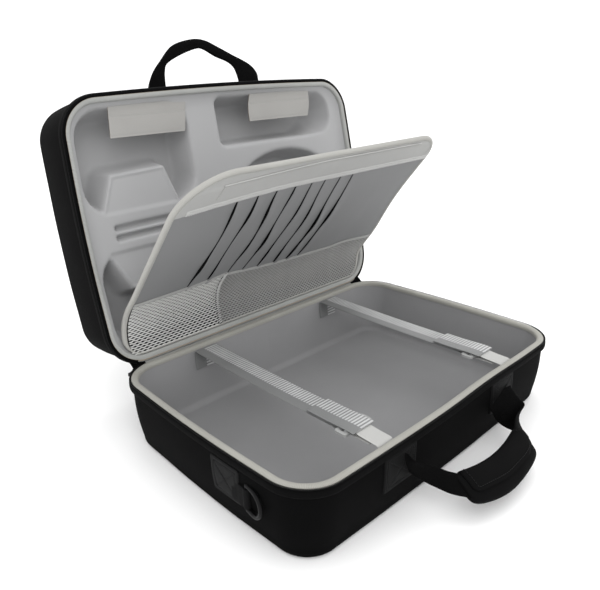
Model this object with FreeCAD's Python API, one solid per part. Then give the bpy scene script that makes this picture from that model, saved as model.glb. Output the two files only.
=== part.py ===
import FreeCAD, Part
import math
import os

# Hard carrying case: a drafted tray with a zip rim, a lid held by a cloth
# spine, and a padded divider that folds off the lid.
# Frame: origin at the middle of the tray's bottom face, +X along the spine,
# -Y towards the handles, +Z up.  Millimetres.

V = FreeCAD.Vector

# ---- driving dimensions ------------------------------------------------
A, B, R = 225.5, 155.5, 43.0        # rim half length, half depth, corner radius
H = 85.5                            # tray height to the rim
HL = 82.0                           # lid depth
HINGE_Y, HINGE_Z = 158.5, 85.8      # spine axis
OPEN = 100.5                        # lid angle as stored
LEAN = 49.35                        # divider angle above the rim plane as stored
FOLD_D, FOLD_N = 57.0, 4.0          # divider fold line: distance from the spine, depth in the lid
SHELL_T, LINING_T = 4.5, 1.5
BIND_W, BIND_H = 9.0, 6.0
TAPE_OUT, TAPE_LOW, TAPE_TOP = 2.5, 10.5, 1.5
FACE_N, INSERT_T = 10.0, 2.5        # moulded insert: face depth below the lid rim, wall
DIV_W, DIV_L, DIV_R = 204.0, 247.0, 46.0   # divider half width, length past the fold, corner
STRAP_X = (-107.0, 120.0)
STRAP_W = 32.0
PATCH_X = ((-124.0, -76.0), (68.0, 116.0))
DROOP = 26.0                        # carry handle below level, as stored
HANDLE_AX = (-158.6, 55.0)          # y, z of the carry handle's flex line
REL = OPEN - LEAN

os.makedirs("parts", exist_ok=True)
NODES = {}


def put(name, shape):
    if shape.ShapeType != "Solid" and len(shape.Solids) == 1:
        shape = shape.Solids[0]
    assert shape.isValid(), name
    NODES[name] = shape


def rr(hx, hy, r, z, cx=0.0, cy=0.0):
    # rounded rectangle wire at height z
    r = min(r, hx - 0.01, hy - 0.01)
    k = r * (1 - math.sqrt(0.5))
    e = []
    x0, x1, y0, y1 = cx - hx, cx + hx, cy - hy, cy + hy

    def ln(p, q):
        e.append(Part.LineSegment(V(p[0], p[1], z), V(q[0], q[1], z)).toShape())

    def ar(p, m, q):
        e.append(Part.Arc(V(p[0], p[1], z), V(m[0], m[1], z), V(q[0], q[1], z)).toShape())

    ln((x0 + r, y0), (x1 - r, y0))
    ar((x1 - r, y0), (x1 - k, y0 + k), (x1, y0 + r))
    ln((x1, y0 + r), (x1, y1 - r))
    ar((x1, y1 - r), (x1 - k, y1 - k), (x1 - r, y1))
    ln((x1 - r, y1), (x0 + r, y1))
    ar((x0 + r, y1), (x0 + k, y1 - k), (x0, y1 - r))
    ln((x0, y1 - r), (x0, y0 + r))
    ar((x0, y0 + r), (x0 + k, y0 + k), (x0 + r, y0))
    return Part.Wire(e)


def rim(off, z):
    return rr(A - off, B - off, R - off, z)


def loft(secs):
    return Part.makeLoft([rim(o, z) for o, z in secs], True, True)


def box(x0, x1, y0, y1, z0, z1):
    return Part.makeBox(x1 - x0, y1 - y0, z1 - z0, V(x0, y0, z0))


def poly_x(pts, x0, x1):
    # (y, z) polygon run along X
    w = Part.makePolygon([V(x0, y, z) for y, z in pts + pts[:1]])
    return Part.Face(w).extrude(V(x1 - x0, 0, 0))


def poly_y(pts, y0, y1):
    # (x, z) polygon run along Y
    w = Part.makePolygon([V(x, y0, z) for x, z in pts + pts[:1]])
    return Part.Face(w).extrude(V(0, y1 - y0, 0))


def slab(hx, hy, r, cx, cy, z0, z1):
    return Part.Face(rr(hx, hy, r, z0, cx, cy)).extrude(V(0, 0, z1 - z0))


def on_lid(s):
    # from the closed position to the stored one
    t = s.copy()
    t.rotate(V(0, HINGE_Y, HINGE_Z), V(1, 0, 0), -OPEN)
    return t


def on_divider(s):
    t = s.copy()
    t.rotate(V(0, HINGE_Y - FOLD_D, HINGE_Z + FOLD_N), V(1, 0, 0), REL)
    return on_lid(t)


def mirror_x(s):
    return s.mirror(V(0, 0, 0), V(1, 0, 0))


def off_base(z):
    # outer wall inset of the tray at height z
    return 2.0 + 7.0 * (H - 9.0 - z) / (H - 19.0)


def off_lid(n):
    return 2.0 + 7.0 * (n - 9.0) / (HL - 21.0)


# ---- tray --------------------------------------------------------------
outer = [(17, 0), (12.4, 1.4), (10.2, 4.4), (9, 10), (2, H - 9), (2, H - BIND_H)]
t = SHELL_T
base_out = loft(outer)
base_in = loft([(13.9, t), (13.5, 10), (2 + t, H - 9), (2 + t, H)])
put("base_shell", base_out.cut(base_in))
g = 0.05
lin_out = loft([(13.9 + g, t + g), (13.5 + g, 10), (2 + t + g, H - 9), (2 + t + g, H - BIND_H)])
u = t + LINING_T
lin_in = loft([(15.3, u), (15.0, 10), (2 + u, H - 9), (2 + u, H)])
put("base_lining", lin_out.cut(lin_in))


def binding(z0, s):
    # rim binding: z0 is the free edge, s the direction to the wall
    f = [(0, z0 + s * BIND_H), (0, z0 + s * 1.6), (1.3, z0)]
    i = [(BIND_W, z0 + s * (BIND_H + 1)), (BIND_W, z0 + s * 1.6), (BIND_W - 1.3, z0), (BIND_W - 1.3, z0 - s)]
    if s > 0:
        f, i = f[::-1], i[::-1]
    return loft(f).cut(loft(i))


def zip_tape(z0, s):
    lo, hi = sorted((z0 + s * TAPE_LOW, z0 + s * TAPE_TOP))
    ring = loft([(-TAPE_OUT, lo), (-TAPE_OUT, hi)])
    mid = z0 + s * (BIND_H + 0.05)
    if s < 0:
        ring = ring.cut(loft([(1.9, lo - 1), (1.9, mid)])).cut(loft([(-0.1, mid - 0.01), (-0.1, hi + 1)]))
    else:
        ring = ring.cut(loft([(1.9, mid), (1.9, hi + 1)])).cut(loft([(-0.1, lo - 1), (-0.1, mid + 0.01)]))
    return ring.cut(box(-190, 190, B - 30, B + 40, lo - 5, hi + 5))


put("base_binding", binding(H, -1))
put("base_zip_tape", zip_tape(H, -1))

# cloth spine: leaf on the tray's back wall and a rolled bead on the axis
yw = lambda z: B - off_base(z)
leaf = poly_x([(yw(H - 32) + g, H - 32), (B - 2 + g, H - 9), (B + 0.2, H - 7), (B + 0.2, H - 1.0),
               (HINGE_Y - 1.2, HINGE_Z - 1.2), (HINGE_Y + 0.6, HINGE_Z - 1.4),
               (B + 2.0, H - 8), (B - 0.3, H - 10.5), (yw(H - 32) + 1.7, H - 32)], -172, 172)
bead = Part.makeCylinder(1.9, 344, V(-172, HINGE_Y, HINGE_Z), V(1, 0, 0))
put("hinge_strip", leaf.fuse(bead).removeSplitter())


# ---- zip sliders and pulls ---------------------------------------------
# drawn on the left wall, then carried round the rear corner to the zip's end
ZIP_Y, ZIP_TURN = B - R, -60.0


def round_corner(s):
    t = s.copy()
    t.rotate(V(-(A - R), B - R, 0), V(0, 0, 1), ZIP_TURN)
    return t


def slider(y):
    x = -A - TAPE_OUT - 0.1
    b = box(x - 2.8, x, y - 6, y + 6, H - 10, H - 2.2)
    b = b.makeFillet(1.0, [e for e in b.Edges if abs(e.Vertexes[0].X - e.Vertexes[1].X) > 1])
    ear = box(x - 7.0, x - 2.7, y - 5.5, y - 4.0, H - 8.2, H - 4.0)
    ear2 = box(x - 7.0, x - 2.7, y + 4.0, y + 5.5, H - 8.2, H - 4.0)
    pin = Part.makeCylinder(1.0, 8.2, V(x - 5.0, y - 4.1, H - 6.1), V(0, 1, 0))
    return round_corner(b.fuse([ear, ear2, pin]).removeSplitter())


def pull(y):
    x = -A - TAPE_OUT - 0.1 - 5.0
    eye = Part.makeCylinder(2.2, 7.0, V(x, y - 3.5, H - 6.1), V(0, 1, 0))
    tab = slab(13.0, 3.5, 3.3, 0, 0, -0.9, 0.9)
    tab.rotate(V(0, 0, 0), V(0, 1, 0), 90)
    tab.translate(V(x, y, H - 6.1 - 13.5))
    slot = slab(3.0, 1.6, 1.5, 0, 0, -3, 3)
    slot.rotate(V(0, 0, 0), V(0, 1, 0), 90)
    slot.translate(V(x, y, H - 6.1 - 20.5))
    bore = Part.makeCylinder(1.1, 12, V(x, y - 6, H - 6.1), V(0, 1, 0))
    return round_corner(eye.fuse(tab).removeSplitter().cut(slot).cut(bore))


put("zip_slider_left", slider(ZIP_Y))
put("zip_slider_right", mirror_x(slider(ZIP_Y)))
put("zip_pull_left", pull(ZIP_Y))
put("zip_pull_right", mirror_x(pull(ZIP_Y)))


# ---- carry handle on the tray ------------------------------------------
def front_patch(x0, x1, z0, z1, th=2.0):
    f = lambda z: -(B - off_base(z)) - g
    s = poly_x([(f(z0), z0), (f(z1), z1), (f(z1) - th, z1), (f(z0) - th, z0)], x0, x1)
    ed = [e for e in s.Edges if abs(e.Vertexes[0].X - e.Vertexes[1].X) < 1e-6
          and abs(e.Vertexes[0].Z - e.Vertexes[1].Z) < 1.0]
    return s.makeFillet(4.0, ed)


put("handle_patch_left", front_patch(PATCH_X[0][0], PATCH_X[0][1], 34, 75))
put("handle_patch_right", front_patch(PATCH_X[1][0], PATCH_X[1][1], 34, 75))


def arc_path(pts, rad):
    # runs joined by tangent arcs
    e = []
    p = [V(*q) for q in pts]
    last = p[0]
    for i in range(1, len(p) - 1):
        a, b, c = p[i - 1], p[i], p[i + 1]
        d0 = (a - b).normalize()
        d1 = (c - b).normalize()
        ang = d0.getAngle(d1)
        r = rad[i - 1]
        cut = r / math.tan(ang / 2)
        s, f = b + d0 * cut, b + d1 * cut
        m = (d0 + d1).normalize()
        mid = b + m * (r / math.sin(ang / 2) - r)
        if (s - last).Length > 1e-6:
            e.append(Part.LineSegment(last, s).toShape())
        e.append(Part.Arc(s, mid, f).toShape())
        last = f
    e.append(Part.LineSegment(last, p[-1]).toShape())
    return Part.Wire(e)


def ribbon(pts, rad, half_t, half_w, along):
    # flat strap: path in a plane, its width along the given direction
    path = arc_path(pts, rad)
    p0, p1 = V(*pts[0]), V(*pts[1])
    d = (p1 - p0).normalize()
    side = d.cross(along)
    q = [p0 + side * a + along * b for a, b in ((half_t, half_w), (-half_t, half_w), (-half_t, -half_w), (half_t, -half_w))]
    prof = Part.makePolygon(q + q[:1])
    return path.makePipeShell([prof], True, False)


HY, HZ = HANDLE_AX
hp = [(-84, HY + 6, HZ), (-68, HY - 17, HZ), (-66, HY - 52, HZ), (45, HY - 63, HZ),
      (50, HY - 34, HZ), (60, HY - 13, HZ), (76, HY + 6, HZ)]
hr = [22, 9, 9, 25, 30]


def droop(s):
    t = s.copy()
    t.rotate(V(0, HY, HZ), V(1, 0, 0), DROOP)
    return t


web = ribbon(hp, hr, 1.3, 14.5, V(0, 0, 1))
web_big = ribbon(hp, hr, 1.5, 14.7, V(0, 0, 1))
yaw = math.degrees(math.atan2(-11, 111))
grip = Part.makeBox(104, 16, 40, V(-52, -8, -20))
grip = grip.makeFillet(6.5, grip.Edges)
grip.rotate(V(0, 0, 0), V(0, 0, 1), yaw)
grip.translate(V(-10.5, HY - 57.5, HZ))
grip = grip.cut(web_big)
# the webbing's ends stop on the face of the patches
fw = lambda z: -(B - off_base(z)) - 2.0 - 4 * g
behind = poly_x([(fw(-30), -30), (fw(120), 120), (0, 120), (0, -30)], -200, 200)
web = droop(web).cut(behind)
put("handle_webbing", max(web.Solids, key=lambda q: q.Volume))
put("handle_grip", droop(grip))


# ---- shoulder ring on each end -----------------------------------------
def side_patch(y0, y1, z0, z1, th=2.0):
    f = lambda z: -(A - off_base(z)) - g
    s = poly_y([(f(z0), z0), (f(z1), z1), (f(z1) - th, z1), (f(z0) - th, z0)], y0, y1)
    ed = [e for e in s.Edges if abs(e.Vertexes[0].Y - e.Vertexes[1].Y) < 1e-6
          and abs(e.Vertexes[0].Z - e.Vertexes[1].Z) < 1.0]
    return s.makeFillet(3.0, ed)


RING_Y, RING_Z = -79.0, 46.0
RING_X = -(A - off_base(RING_Z)) - 5.6
ring_loop = Part.makeCylinder(4.2, 22, V(RING_X, RING_Y, RING_Z - 11), V(0, 0, 1))
tail = poly_y([(-(A - off_base(RING_Z - 11)) - 3 * g, RING_Z - 11), (-(A - off_base(RING_Z + 11)) - 3 * g, RING_Z + 11),
               (-(A - off_base(RING_Z + 11)) - 3.0, RING_Z + 11), (-(A - off_base(RING_Z - 11)) - 3.0, RING_Z - 11)],
              RING_Y - 1.0, -70.3)
bridge = box(RING_X - 1.0, RING_X + 3.5, RING_Y, RING_Y + 4, RING_Z - 11, RING_Z + 11)
ring_loop = ring_loop.fuse([tail, bridge]).removeSplitter()
ring_loop = ring_loop.cut(Part.makeCylinder(2.5, 40, V(RING_X, RING_Y, RING_Z - 20), V(0, 0, 1)))


def d_ring():
    r, w, leg = 2.2, 13.5, 9.0
    bar = Part.makeCylinder(r, 2 * w, V(0, 0, -w), V(0, 0, 1))
    l1 = Part.makeCylinder(r, leg, V(0, 0, w), V(0, -1, 0))
    l2 = Part.makeCylinder(r, leg, V(0, 0, -w), V(0, -1, 0))
    k1 = Part.makeSphere(r, V(0, 0, w))
    k2 = Part.makeSphere(r, V(0, 0, -w))
    # half ring in the YZ plane, bulging to -Y
    c = Part.Wire([Part.makeCircle(r, V(0, -leg, w), V(0, -1, 0))])
    half = Part.Face(c).revolve(V(0, -leg, 0), V(1, 0, 0), 180)
    return bar.fuse([l1, l2, k1, k2, half]).removeSplitter()


ring = d_ring()
ring.rotate(V(0, 0, 0), V(0, 0, 1), -8)
ring.translate(V(RING_X, RING_Y, RING_Z))
put("side_patch_left", side_patch(-70, -27, 29, 70))
put("side_patch_right", mirror_x(NODES["side_patch_left"]))
put("ring_loop_left", ring_loop)
put("ring_loop_right", mirror_x(ring_loop))
put("d_ring_left", ring)
put("d_ring_right", mirror_x(ring))

# ---- tie-down straps across the tray -----------------------------------
zs = H - 5.0
in_y = lambda z: min(B - (2 + SHELL_T + LINING_T + 7.0 * max(H - 9 - z, 0) / (H - 19.0)) - 0.1, B - BIND_W - 0.1)
for name, xc in zip(("left", "right"), STRAP_X):
    w = STRAP_W / 2
    band = poly_x([(-96, zs), (in_y(zs), zs), (in_y(H - 9), H - 9), (in_y(H - 32), H - 32), (in_y(H - 32) - 2, H - 32),
                   (in_y(H - 9) - 2, H - 9), (in_y(zs) - 2, zs - 2), (-96, zs - 2)], xc - w, xc + w)
    put("strap_" + name, band)
    fr = slab(w + 5, 7.5, 3.0, xc, -104.0, zs - 2.4, zs + 0.4).cut(slab(w + 1, 3.6, 1.0, xc, -104.0, zs - 9, zs + 9))
    put("strap_ring_" + name, fr)
    tab = poly_x([(-112, zs), (-in_y(zs), zs), (-in_y(H - 9), H - 9), (-in_y(H - 26), H - 26), (-in_y(H - 26) + 2, H - 26),
                  (-in_y(H - 9) + 2, H - 9), (-in_y(zs) + 2, zs - 2), (-112, zs - 2)], xc - 11, xc + 11)
    put("strap_tab_" + name, tab)

# ---- lid (drawn closed, then opened) -----------------------------------
Z0 = HINGE_Z
lo = [(2, BIND_H), (2, 9), (9, HL - 12), (10.8, HL - 5.4), (13.4, HL - 1.6), (18.5, HL)]
lid_out = loft([(o, Z0 + n) for o, n in lo])
lid_in = loft([(2 + t, Z0), (2 + t, Z0 + 9), (13.5, Z0 + HL - 12), (15.2, Z0 + HL - t)])
put("lid_shell", on_lid(lid_out.cut(lid_in)))
ll_out = loft([(2 + t + g, Z0 + BIND_H), (2 + t + g, Z0 + 9), (13.5 + g, Z0 + HL - 12), (15.2 + g, Z0 + HL - t - g)])
ll_in = loft([(2 + u, Z0), (2 + u, Z0 + 9), (15.0, Z0 + HL - 12), (16.7, Z0 + HL - u)])
put("lid_lining", on_lid(ll_out.cut(ll_in)))
put("lid_binding", on_lid(binding(Z0, 1)))
put("lid_zip_tape", on_lid(zip_tape(Z0, 1)))


# moulded insert: face plate with recessed cups, (x, d) plan
def plan(x0, x1, d0, d1, r, z=0.0):
    return rr((x1 - x0) / 2, (d1 - d0) / 2, r, z, (x0 + x1) / 2, HINGE_Y - (d0 + d1) / 2)


def pxd(pts, z=0.0):
    q = [V(x, HINGE_Y - d, z) for x, d in pts]
    return Part.Face(Part.makePolygon(q + q[:1]))


UP = (-209.0, -60.0, 180.0, 297.0)      # upper holder recess
DN = (-209.0, -60.0, 20.0, 136.0)       # lower holder recess
CAB = (-10.0, 186.0, 240.0, 297.0)      # cable recess
OVAL = (0.0, 190.0, 20.0, 224.0)        # round recess
boss_up = pxd([(-172, 226), (-102, 226), (-86, 170), (-196, 170)])
boss_dn = pxd([(-172, 90), (-102, 90), (-86, 146), (-196, 146)])
cups = [
    (Part.Face(plan(*UP, 34)).cut(boss_up).Faces[0], 40.0),
    (Part.Face(plan(*DN, 34)).cut(boss_dn).Faces[0], 40.0),
    (Part.Face(plan(*CAB, 14)), 44.0),
    (Part.Face(plan(*OVAL, 84)), 46.0),
    (Part.Face(plan(-178, -74, 161, 168, 3)), 9.0),
    (Part.Face(plan(-178, -74, 149, 156, 3)), 9.0),
]
f0 = Z0 + FACE_N
body = Part.Face(rim(2 + u + 0.6, f0)).extrude(V(0, 0, INSERT_T))
hole = None
for face, depth in cups:
    try:
        big = face.makeOffset2D(INSERT_T)
        big = big if big.ShapeType == "Face" else Part.Face(big)
    except Exception:
        big = face
    c = big.copy()
    c.translate(V(0, 0, f0 + 0.5))
    body = body.fuse(c.extrude(V(0, 0, depth + INSERT_T - 0.5)))
for face, depth in cups:
    c = face.copy()
    c.translate(V(0, 0, f0 - 1))
    body = body.cut(c.extrude(V(0, 0, depth + 1)))
put("lid_insert", on_lid(body.removeSplitter()))


def flap(x0, x1, d0, d1):
    return Part.Face(plan(x0, x1, d0, d1, 3, Z0 + 7.6)).extrude(V(0, 0, 2.0))


put("upper_holder_flap", on_lid(flap(-172, -64.5, 264, 303)))
put("lower_holder_flap", on_lid(flap(-172, -64.5, 14, 52)))
put("cable_flap", on_lid(flap(37, 148, 266, 303)))


# lid handle: folded webbing loop with flat feet, on two sewn patches
def lid_patch(x0, x1, n0, n1, th=2.0):
    f = lambda n: -(B - off_lid(n)) - g
    s = poly_x([(f(n0), Z0 + n0), (f(n1), Z0 + n1), (f(n1) - th, Z0 + n1), (f(n0) - th, Z0 + n0)], x0, x1)
    ed = [e for e in s.Edges if abs(e.Vertexes[0].X - e.Vertexes[1].X) < 1e-6
          and abs(e.Vertexes[0].Z - e.Vertexes[1].Z) < 1.0]
    return s.makeFillet(4.0, ed)


LH_N = 30.0
put("lid_handle_patch_left", on_lid(lid_patch(-104, -56, 22, 62)))
put("lid_handle_patch_right", on_lid(lid_patch(44, 92, 22, 62)))
LH_Y = -(B - off_lid(LH_N)) - 2.0 - 2.2           # flex line of the lid handle, closed
zc = Z0 + LH_N
yd = lambda d: HINGE_Y - d
lp = [(-80, yd(326), zc), (-76, yd(352), zc), (-50, yd(371), zc), (-8, yd(377), zc), (32, yd(357), zc),
      (64, yd(346), zc), (68, yd(326), zc)]
lr = [16, 30, 40, 60, 14]
loop = ribbon(lp, lr, 5.5, 3.5, V(0, 0, 1))
feet = []
for xc, xt in ((-80, -80), (68, 68)):
    feet.append(Part.makeCylinder(1.6, 27, V(xc - 13.5, LH_Y, zc), V(1, 0, 0)))
    feet.append(box(xc - 13.5, xc + 13.5, yd(330), LH_Y, zc - 1.6, zc + 1.6))
put("lid_handle_webbing", on_lid(loop.fuse(feet).removeSplitter()))

# ---- divider (drawn closed and flat) -----------------------------------
N = lambda n: Z0 + n
root = slab(DIV_W, (FOLD_D - 12.6) / 2 + 20, 30, 0, HINGE_Y - 12.6 - (FOLD_D - 12.6) / 2 - 20, N(2.4), N(5.6))
root = root.cut(box(-300, 300, -200, HINGE_Y - FOLD_D, N(0), N(9)))
bead2 = Part.makeCylinder(1.8, 2 * 196, V(-196, HINGE_Y - FOLD_D, N(FOLD_N)), V(1, 0, 0))
put("divider_root", on_lid(root.fuse(bead2).removeSplitter()))

FY = HINGE_Y - FOLD_D


def dslab(x0, x1, s0, s1, r, n0, n1):
    # plate on the divider: s is the distance past the fold
    return slab((x1 - x0) / 2, (s1 - s0) / 2, r, (x0 + x1) / 2, FY - (s0 + s1) / 2, N(n0), N(n1))


cutlow = box(-300, 300, FY - 2.6, FY + 300, N(-30), N(30))
cutlow2 = box(-300, 300, FY - 6.5, FY + 300, N(-30), N(30))
board = dslab(-DIV_W + 5.1, DIV_W - 5.1, -60, DIV_L - 5.1, DIV_R - 5.1, 2.4, 5.6).cut(cutlow)
put("divider_board", on_divider(board))
bnd = dslab(-DIV_W, DIV_W, -60, DIV_L, DIV_R, 0.9, 7.1).cut(
    dslab(-DIV_W + 5, DIV_W - 5, -70, DIV_L - 5, DIV_R - 5, -5, 12)).cut(cutlow2)
put("divider_binding", on_divider(bnd))
SLIT = (-127.0, -100.5, -74.0, -47.5, -21.0, 5.0, 30.5, 54.0)
head = dslab(-DIV_W + 5.2, DIV_W - 5.2, 40, DIV_L - 5.2, DIV_R - 5.2, 1.2, 2.35).cut(
    box(-300, 300, FY - 205, FY + 300, N(-30), N(30)))
put("divider_header", on_divider(head))
face_panel = dslab(-DIV_W + 5.2, SLIT[0] - 0.4, 42, 204.6, 2, 1.2, 2.35)
put("divider_face", on_divider(face_panel))
ends = list(SLIT[1:]) + [DIV_W - 5.2 + 0.4]
for i, (x0, x1) in enumerate(zip(SLIT, ends)):
    put("media_sleeve_%d" % (i + 1), on_divider(dslab(x0, x1 - 0.4, 42, 204.6, 1.0, 1.2, 2.35)))


def pocket(x0, x1):
    low = on_lid(slab((x1 - x0) / 2, 20.5, 6, (x0 + x1) / 2, HINGE_Y - 16 - 20.5, N(-1.8), N(2.0)))
    up = on_divider(dslab(x0, x1, 4, 41.5, 2, -1.8, 2.3))
    return low, up


# the stored fold closes on its front side, so the two leaves meet there
for name, x0, x1 in (("left", -198.0, -72.0), ("right", -70.0, 198.0)):
    low, up = pocket(x0, x1)
    put("mesh_pocket_" + name, low.fuse(up).removeSplitter())

for name, s in NODES.items():
    s.exportStep("parts/%s.step" % name)
if __name__ == "__main__":
    for name, s in NODES.items():
        b = s.BoundBox
        print("%-24s solids %d  vol %9.0f  x %7.1f %7.1f  y %7.1f %7.1f  z %7.1f %7.1f" % (
            name, len(s.Solids), s.Volume, b.XMin, b.XMax, b.YMin, b.YMax, b.ZMin, b.ZMax))
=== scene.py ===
import math

import bmesh
import bpy
import numpy as np
from mathutils import Matrix, Vector


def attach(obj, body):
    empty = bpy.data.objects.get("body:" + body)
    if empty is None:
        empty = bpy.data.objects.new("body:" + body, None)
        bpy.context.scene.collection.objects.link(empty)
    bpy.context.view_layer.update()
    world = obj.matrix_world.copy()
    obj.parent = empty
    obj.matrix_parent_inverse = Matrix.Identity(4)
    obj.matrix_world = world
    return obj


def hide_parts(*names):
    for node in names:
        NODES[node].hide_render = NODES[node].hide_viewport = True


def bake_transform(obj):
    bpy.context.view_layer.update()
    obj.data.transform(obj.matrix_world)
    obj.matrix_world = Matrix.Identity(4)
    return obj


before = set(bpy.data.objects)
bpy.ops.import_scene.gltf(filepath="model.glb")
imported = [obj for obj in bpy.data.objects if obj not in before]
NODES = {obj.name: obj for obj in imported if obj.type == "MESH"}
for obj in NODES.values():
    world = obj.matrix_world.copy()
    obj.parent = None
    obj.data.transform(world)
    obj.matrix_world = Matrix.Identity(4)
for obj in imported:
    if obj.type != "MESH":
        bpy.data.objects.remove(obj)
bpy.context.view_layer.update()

# ---- the case's own numbers, millimetres ---------------------------------
A, B, R = 225.5, 155.5, 43.0
H, HL = 85.5, 82.0
HY, HZ = 158.5, 85.8
OPEN, REL = math.radians(100.5), math.radians(51.15)
CO, SO = math.cos(OPEN), math.sin(OPEN)
CR, SR = math.cos(REL), math.sin(REL)
FD, FN = 57.0, 4.0
DW, DL, DR = 204.0, 247.0, 46.0


def arr(*p):
    return np.stack(np.broadcast_arrays(*[np.asarray(q, float) for q in p]), -1)


def base_w(x, y, z):
    return arr(x, y, z)


def lid_w(x, d, n):
    d, n = np.asarray(d, float), np.asarray(n, float)
    return arr(x, HY - d * CO + n * SO, HZ + d * SO + n * CO)


def lidc_w(x, y, n):
    # from the closed lid's (x, y, height over the rim)
    return lid_w(x, HY - np.asarray(y, float), n)


FOLD_W = 28.0


def panel_w(x, t, m):
    # the divider: t runs from the spine (negative) past the fold (0), m is the offset from its middle
    x, t, m = np.asarray(x, float), np.asarray(t, float), np.asarray(m, float)
    # its right end sags forward above the fold
    m = m - 7.5 * np.exp(-((t - 25) / np.where(t > 25, 75.0, 38.0)) ** 2) * smooth(144, 204, x)
    x = x + 10.5 * np.exp(-((t - 30) / 70.0) ** 2) * smooth(110, 204, x)
    x = x - 5.0 * np.exp(-((t + 25) / 40.0) ** 2) * smooth(110, 204, -x)
    w = FOLD_W
    lo = np.where(t < -w, t, np.where(t > w, 0.0, -(w - t) ** 2 / (4 * w)))
    hi = np.where(t > w, t, np.where(t < -w, 0.0, (w + t) ** 2 / (4 * w)))
    a = np.clip((w - t) / (2 * w), 0, 1)
    td, tn = a + (1 - a) * CR, -(1 - a) * SR
    ln = np.hypot(td, tn)
    return lid_w(x, FD + lo + hi * CR - tn / ln * m, FN - hi * SR + td / ln * m)


def smooth(a, b, x):
    t = np.clip((np.asarray(x, float) - a) / (b - a), 0, 1)
    return t * t * (3 - 2 * t)


def off_base(z):
    return 2.0 + 7.0 * (H - 9.0 - z) / (H - 19.0)


def bow(x, y):
    # the soft walls bulge a little between the corners
    x, y = np.asarray(x, float), np.asarray(y, float)
    ky = np.clip(1 - (y / B) ** 2, 0, 1)
    kx = np.clip(1 - (x / A) ** 2, 0, 1)
    return x + 4.4 * (x / A) * ky ** 1.4, y - 4.6 * kx * np.clip(-y / B, 0, 1) ** 2


def undulate(x, y, z, amp):
    return amp * (np.sin(x / 31.0 + 0.7) * np.sin(z / 19.0 + 1.1) * 0.6
                  + np.sin(y / 27.0 - 0.4) * np.sin(z / 24.0 + 2.0) * 0.6
                  + np.sin((x + y) / 13.0 + z / 15.0) * 0.25)


# ---- mesh building -------------------------------------------------------
class Build:
    def __init__(self):
        self.v, self.f, self.uv, self.mi, self.n = [], [], [], [], 0

    def raw(self, verts, faces, uvs, mi=0):
        verts = np.asarray(verts, float).reshape(-1, 3)
        for f, u in zip(faces, uvs):
            self.f.append([int(i) + self.n for i in f])
            self.uv.extend(u)
            self.mi.append(mi)
        self.v.append(verts)
        self.n += len(verts)

    def grid(self, p, wu=False, wv=False, u=None, v=None, mi=0, mask=None):
        nu, nv = p.shape[:2]
        u = np.arange(nu + 1) if u is None else np.asarray(u, float)
        v = np.arange(nv + 1) if v is None else np.asarray(v, float)
        if u.ndim == 1:
            u = np.repeat(u[:, None], nv + 1, 1)
        if v.ndim == 1:
            v = np.repeat(v[None, :], nu + 1, 0)
        i, j = np.meshgrid(np.arange(nu if wu else nu - 1), np.arange(nv if wv else nv - 1), indexing="ij")
        i, j = i.ravel(), j.ravel()
        if mask is not None:
            keep = mask[i, j]
            i, j = i[keep], j[keep]
        i1, j1 = i + 1, j + 1
        f = np.stack([i * nv + j, (i1 % nu) * nv + j, (i1 % nu) * nv + j1 % nv, i * nv + j1 % nv], -1)
        c = [np.minimum(q, s - 1) for q, s in ((i, u.shape[0]), (i1, u.shape[0]))]
        e = [np.minimum(q, u.shape[1] - 1) for q in (j, j1)]
        lu = np.stack([u[c[0], e[0]], u[c[1], e[0]], u[c[1], e[1]], u[c[0], e[1]]], -1)
        lv = np.stack([v[c[0], e[0]], v[c[1], e[0]], v[c[1], e[1]], v[c[0], e[1]]], -1)
        self.v.append(p.reshape(-1, 3))
        self.f.extend((f + self.n).tolist())
        self.uv.extend(np.stack([lu, lv], -1).reshape(-1, 2).tolist())
        self.mi.extend(np.broadcast_to(mi, (nu, nv))[i, j].tolist())
        first = self.n
        self.n += nu * nv
        return first

    def face(self, idx, uv, mi=0):
        self.f.append([int(k) for k in idx])
        self.uv.extend([list(q) for q in uv])
        self.mi.append(mi)

    def obj(self, name, mats, angle=40.0, recalc=True):
        me = bpy.data.meshes.new(name)
        v = np.concatenate(self.v) * 0.001
        me.from_pydata(v.tolist(), [], self.f)
        lay = me.uv_layers.new(name="cloth")
        lay.uv.foreach_set("vector", np.asarray(self.uv, np.float32).ravel())
        me.polygons.foreach_set("material_index", np.asarray(self.mi, np.int32))
        for m in mats:
            me.materials.append(m)
        if recalc:
            bm = bmesh.new()
            bm.from_mesh(me)
            bmesh.ops.remove_doubles(bm, verts=bm.verts, dist=1e-7)
            bmesh.ops.recalc_face_normals(bm, faces=bm.faces)
            bm.to_mesh(me)
            bm.free()
        me.polygons.foreach_set("use_smooth", np.ones(len(me.polygons), bool))
        if angle is not None:
            me.set_sharp_from_angle(angle=math.radians(angle))
        me.update()
        o = bpy.data.objects.new(name, me)
        bpy.context.scene.collection.objects.link(o)
        return o


def place(o, body=None, nodes=()):
    if body:
        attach(o, body)
    if nodes:
        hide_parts(*nodes)
    return o


def cum(p):
    return np.concatenate([[0], np.cumsum(np.linalg.norm(np.diff(p, axis=0), axis=1))])


def resample(p, n):
    p = np.asarray(p, float)
    c = cum(p)
    s = np.linspace(0, c[-1], n)
    return np.stack([np.interp(s, c, p[:, k]) for k in range(p.shape[1])], -1)


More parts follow.
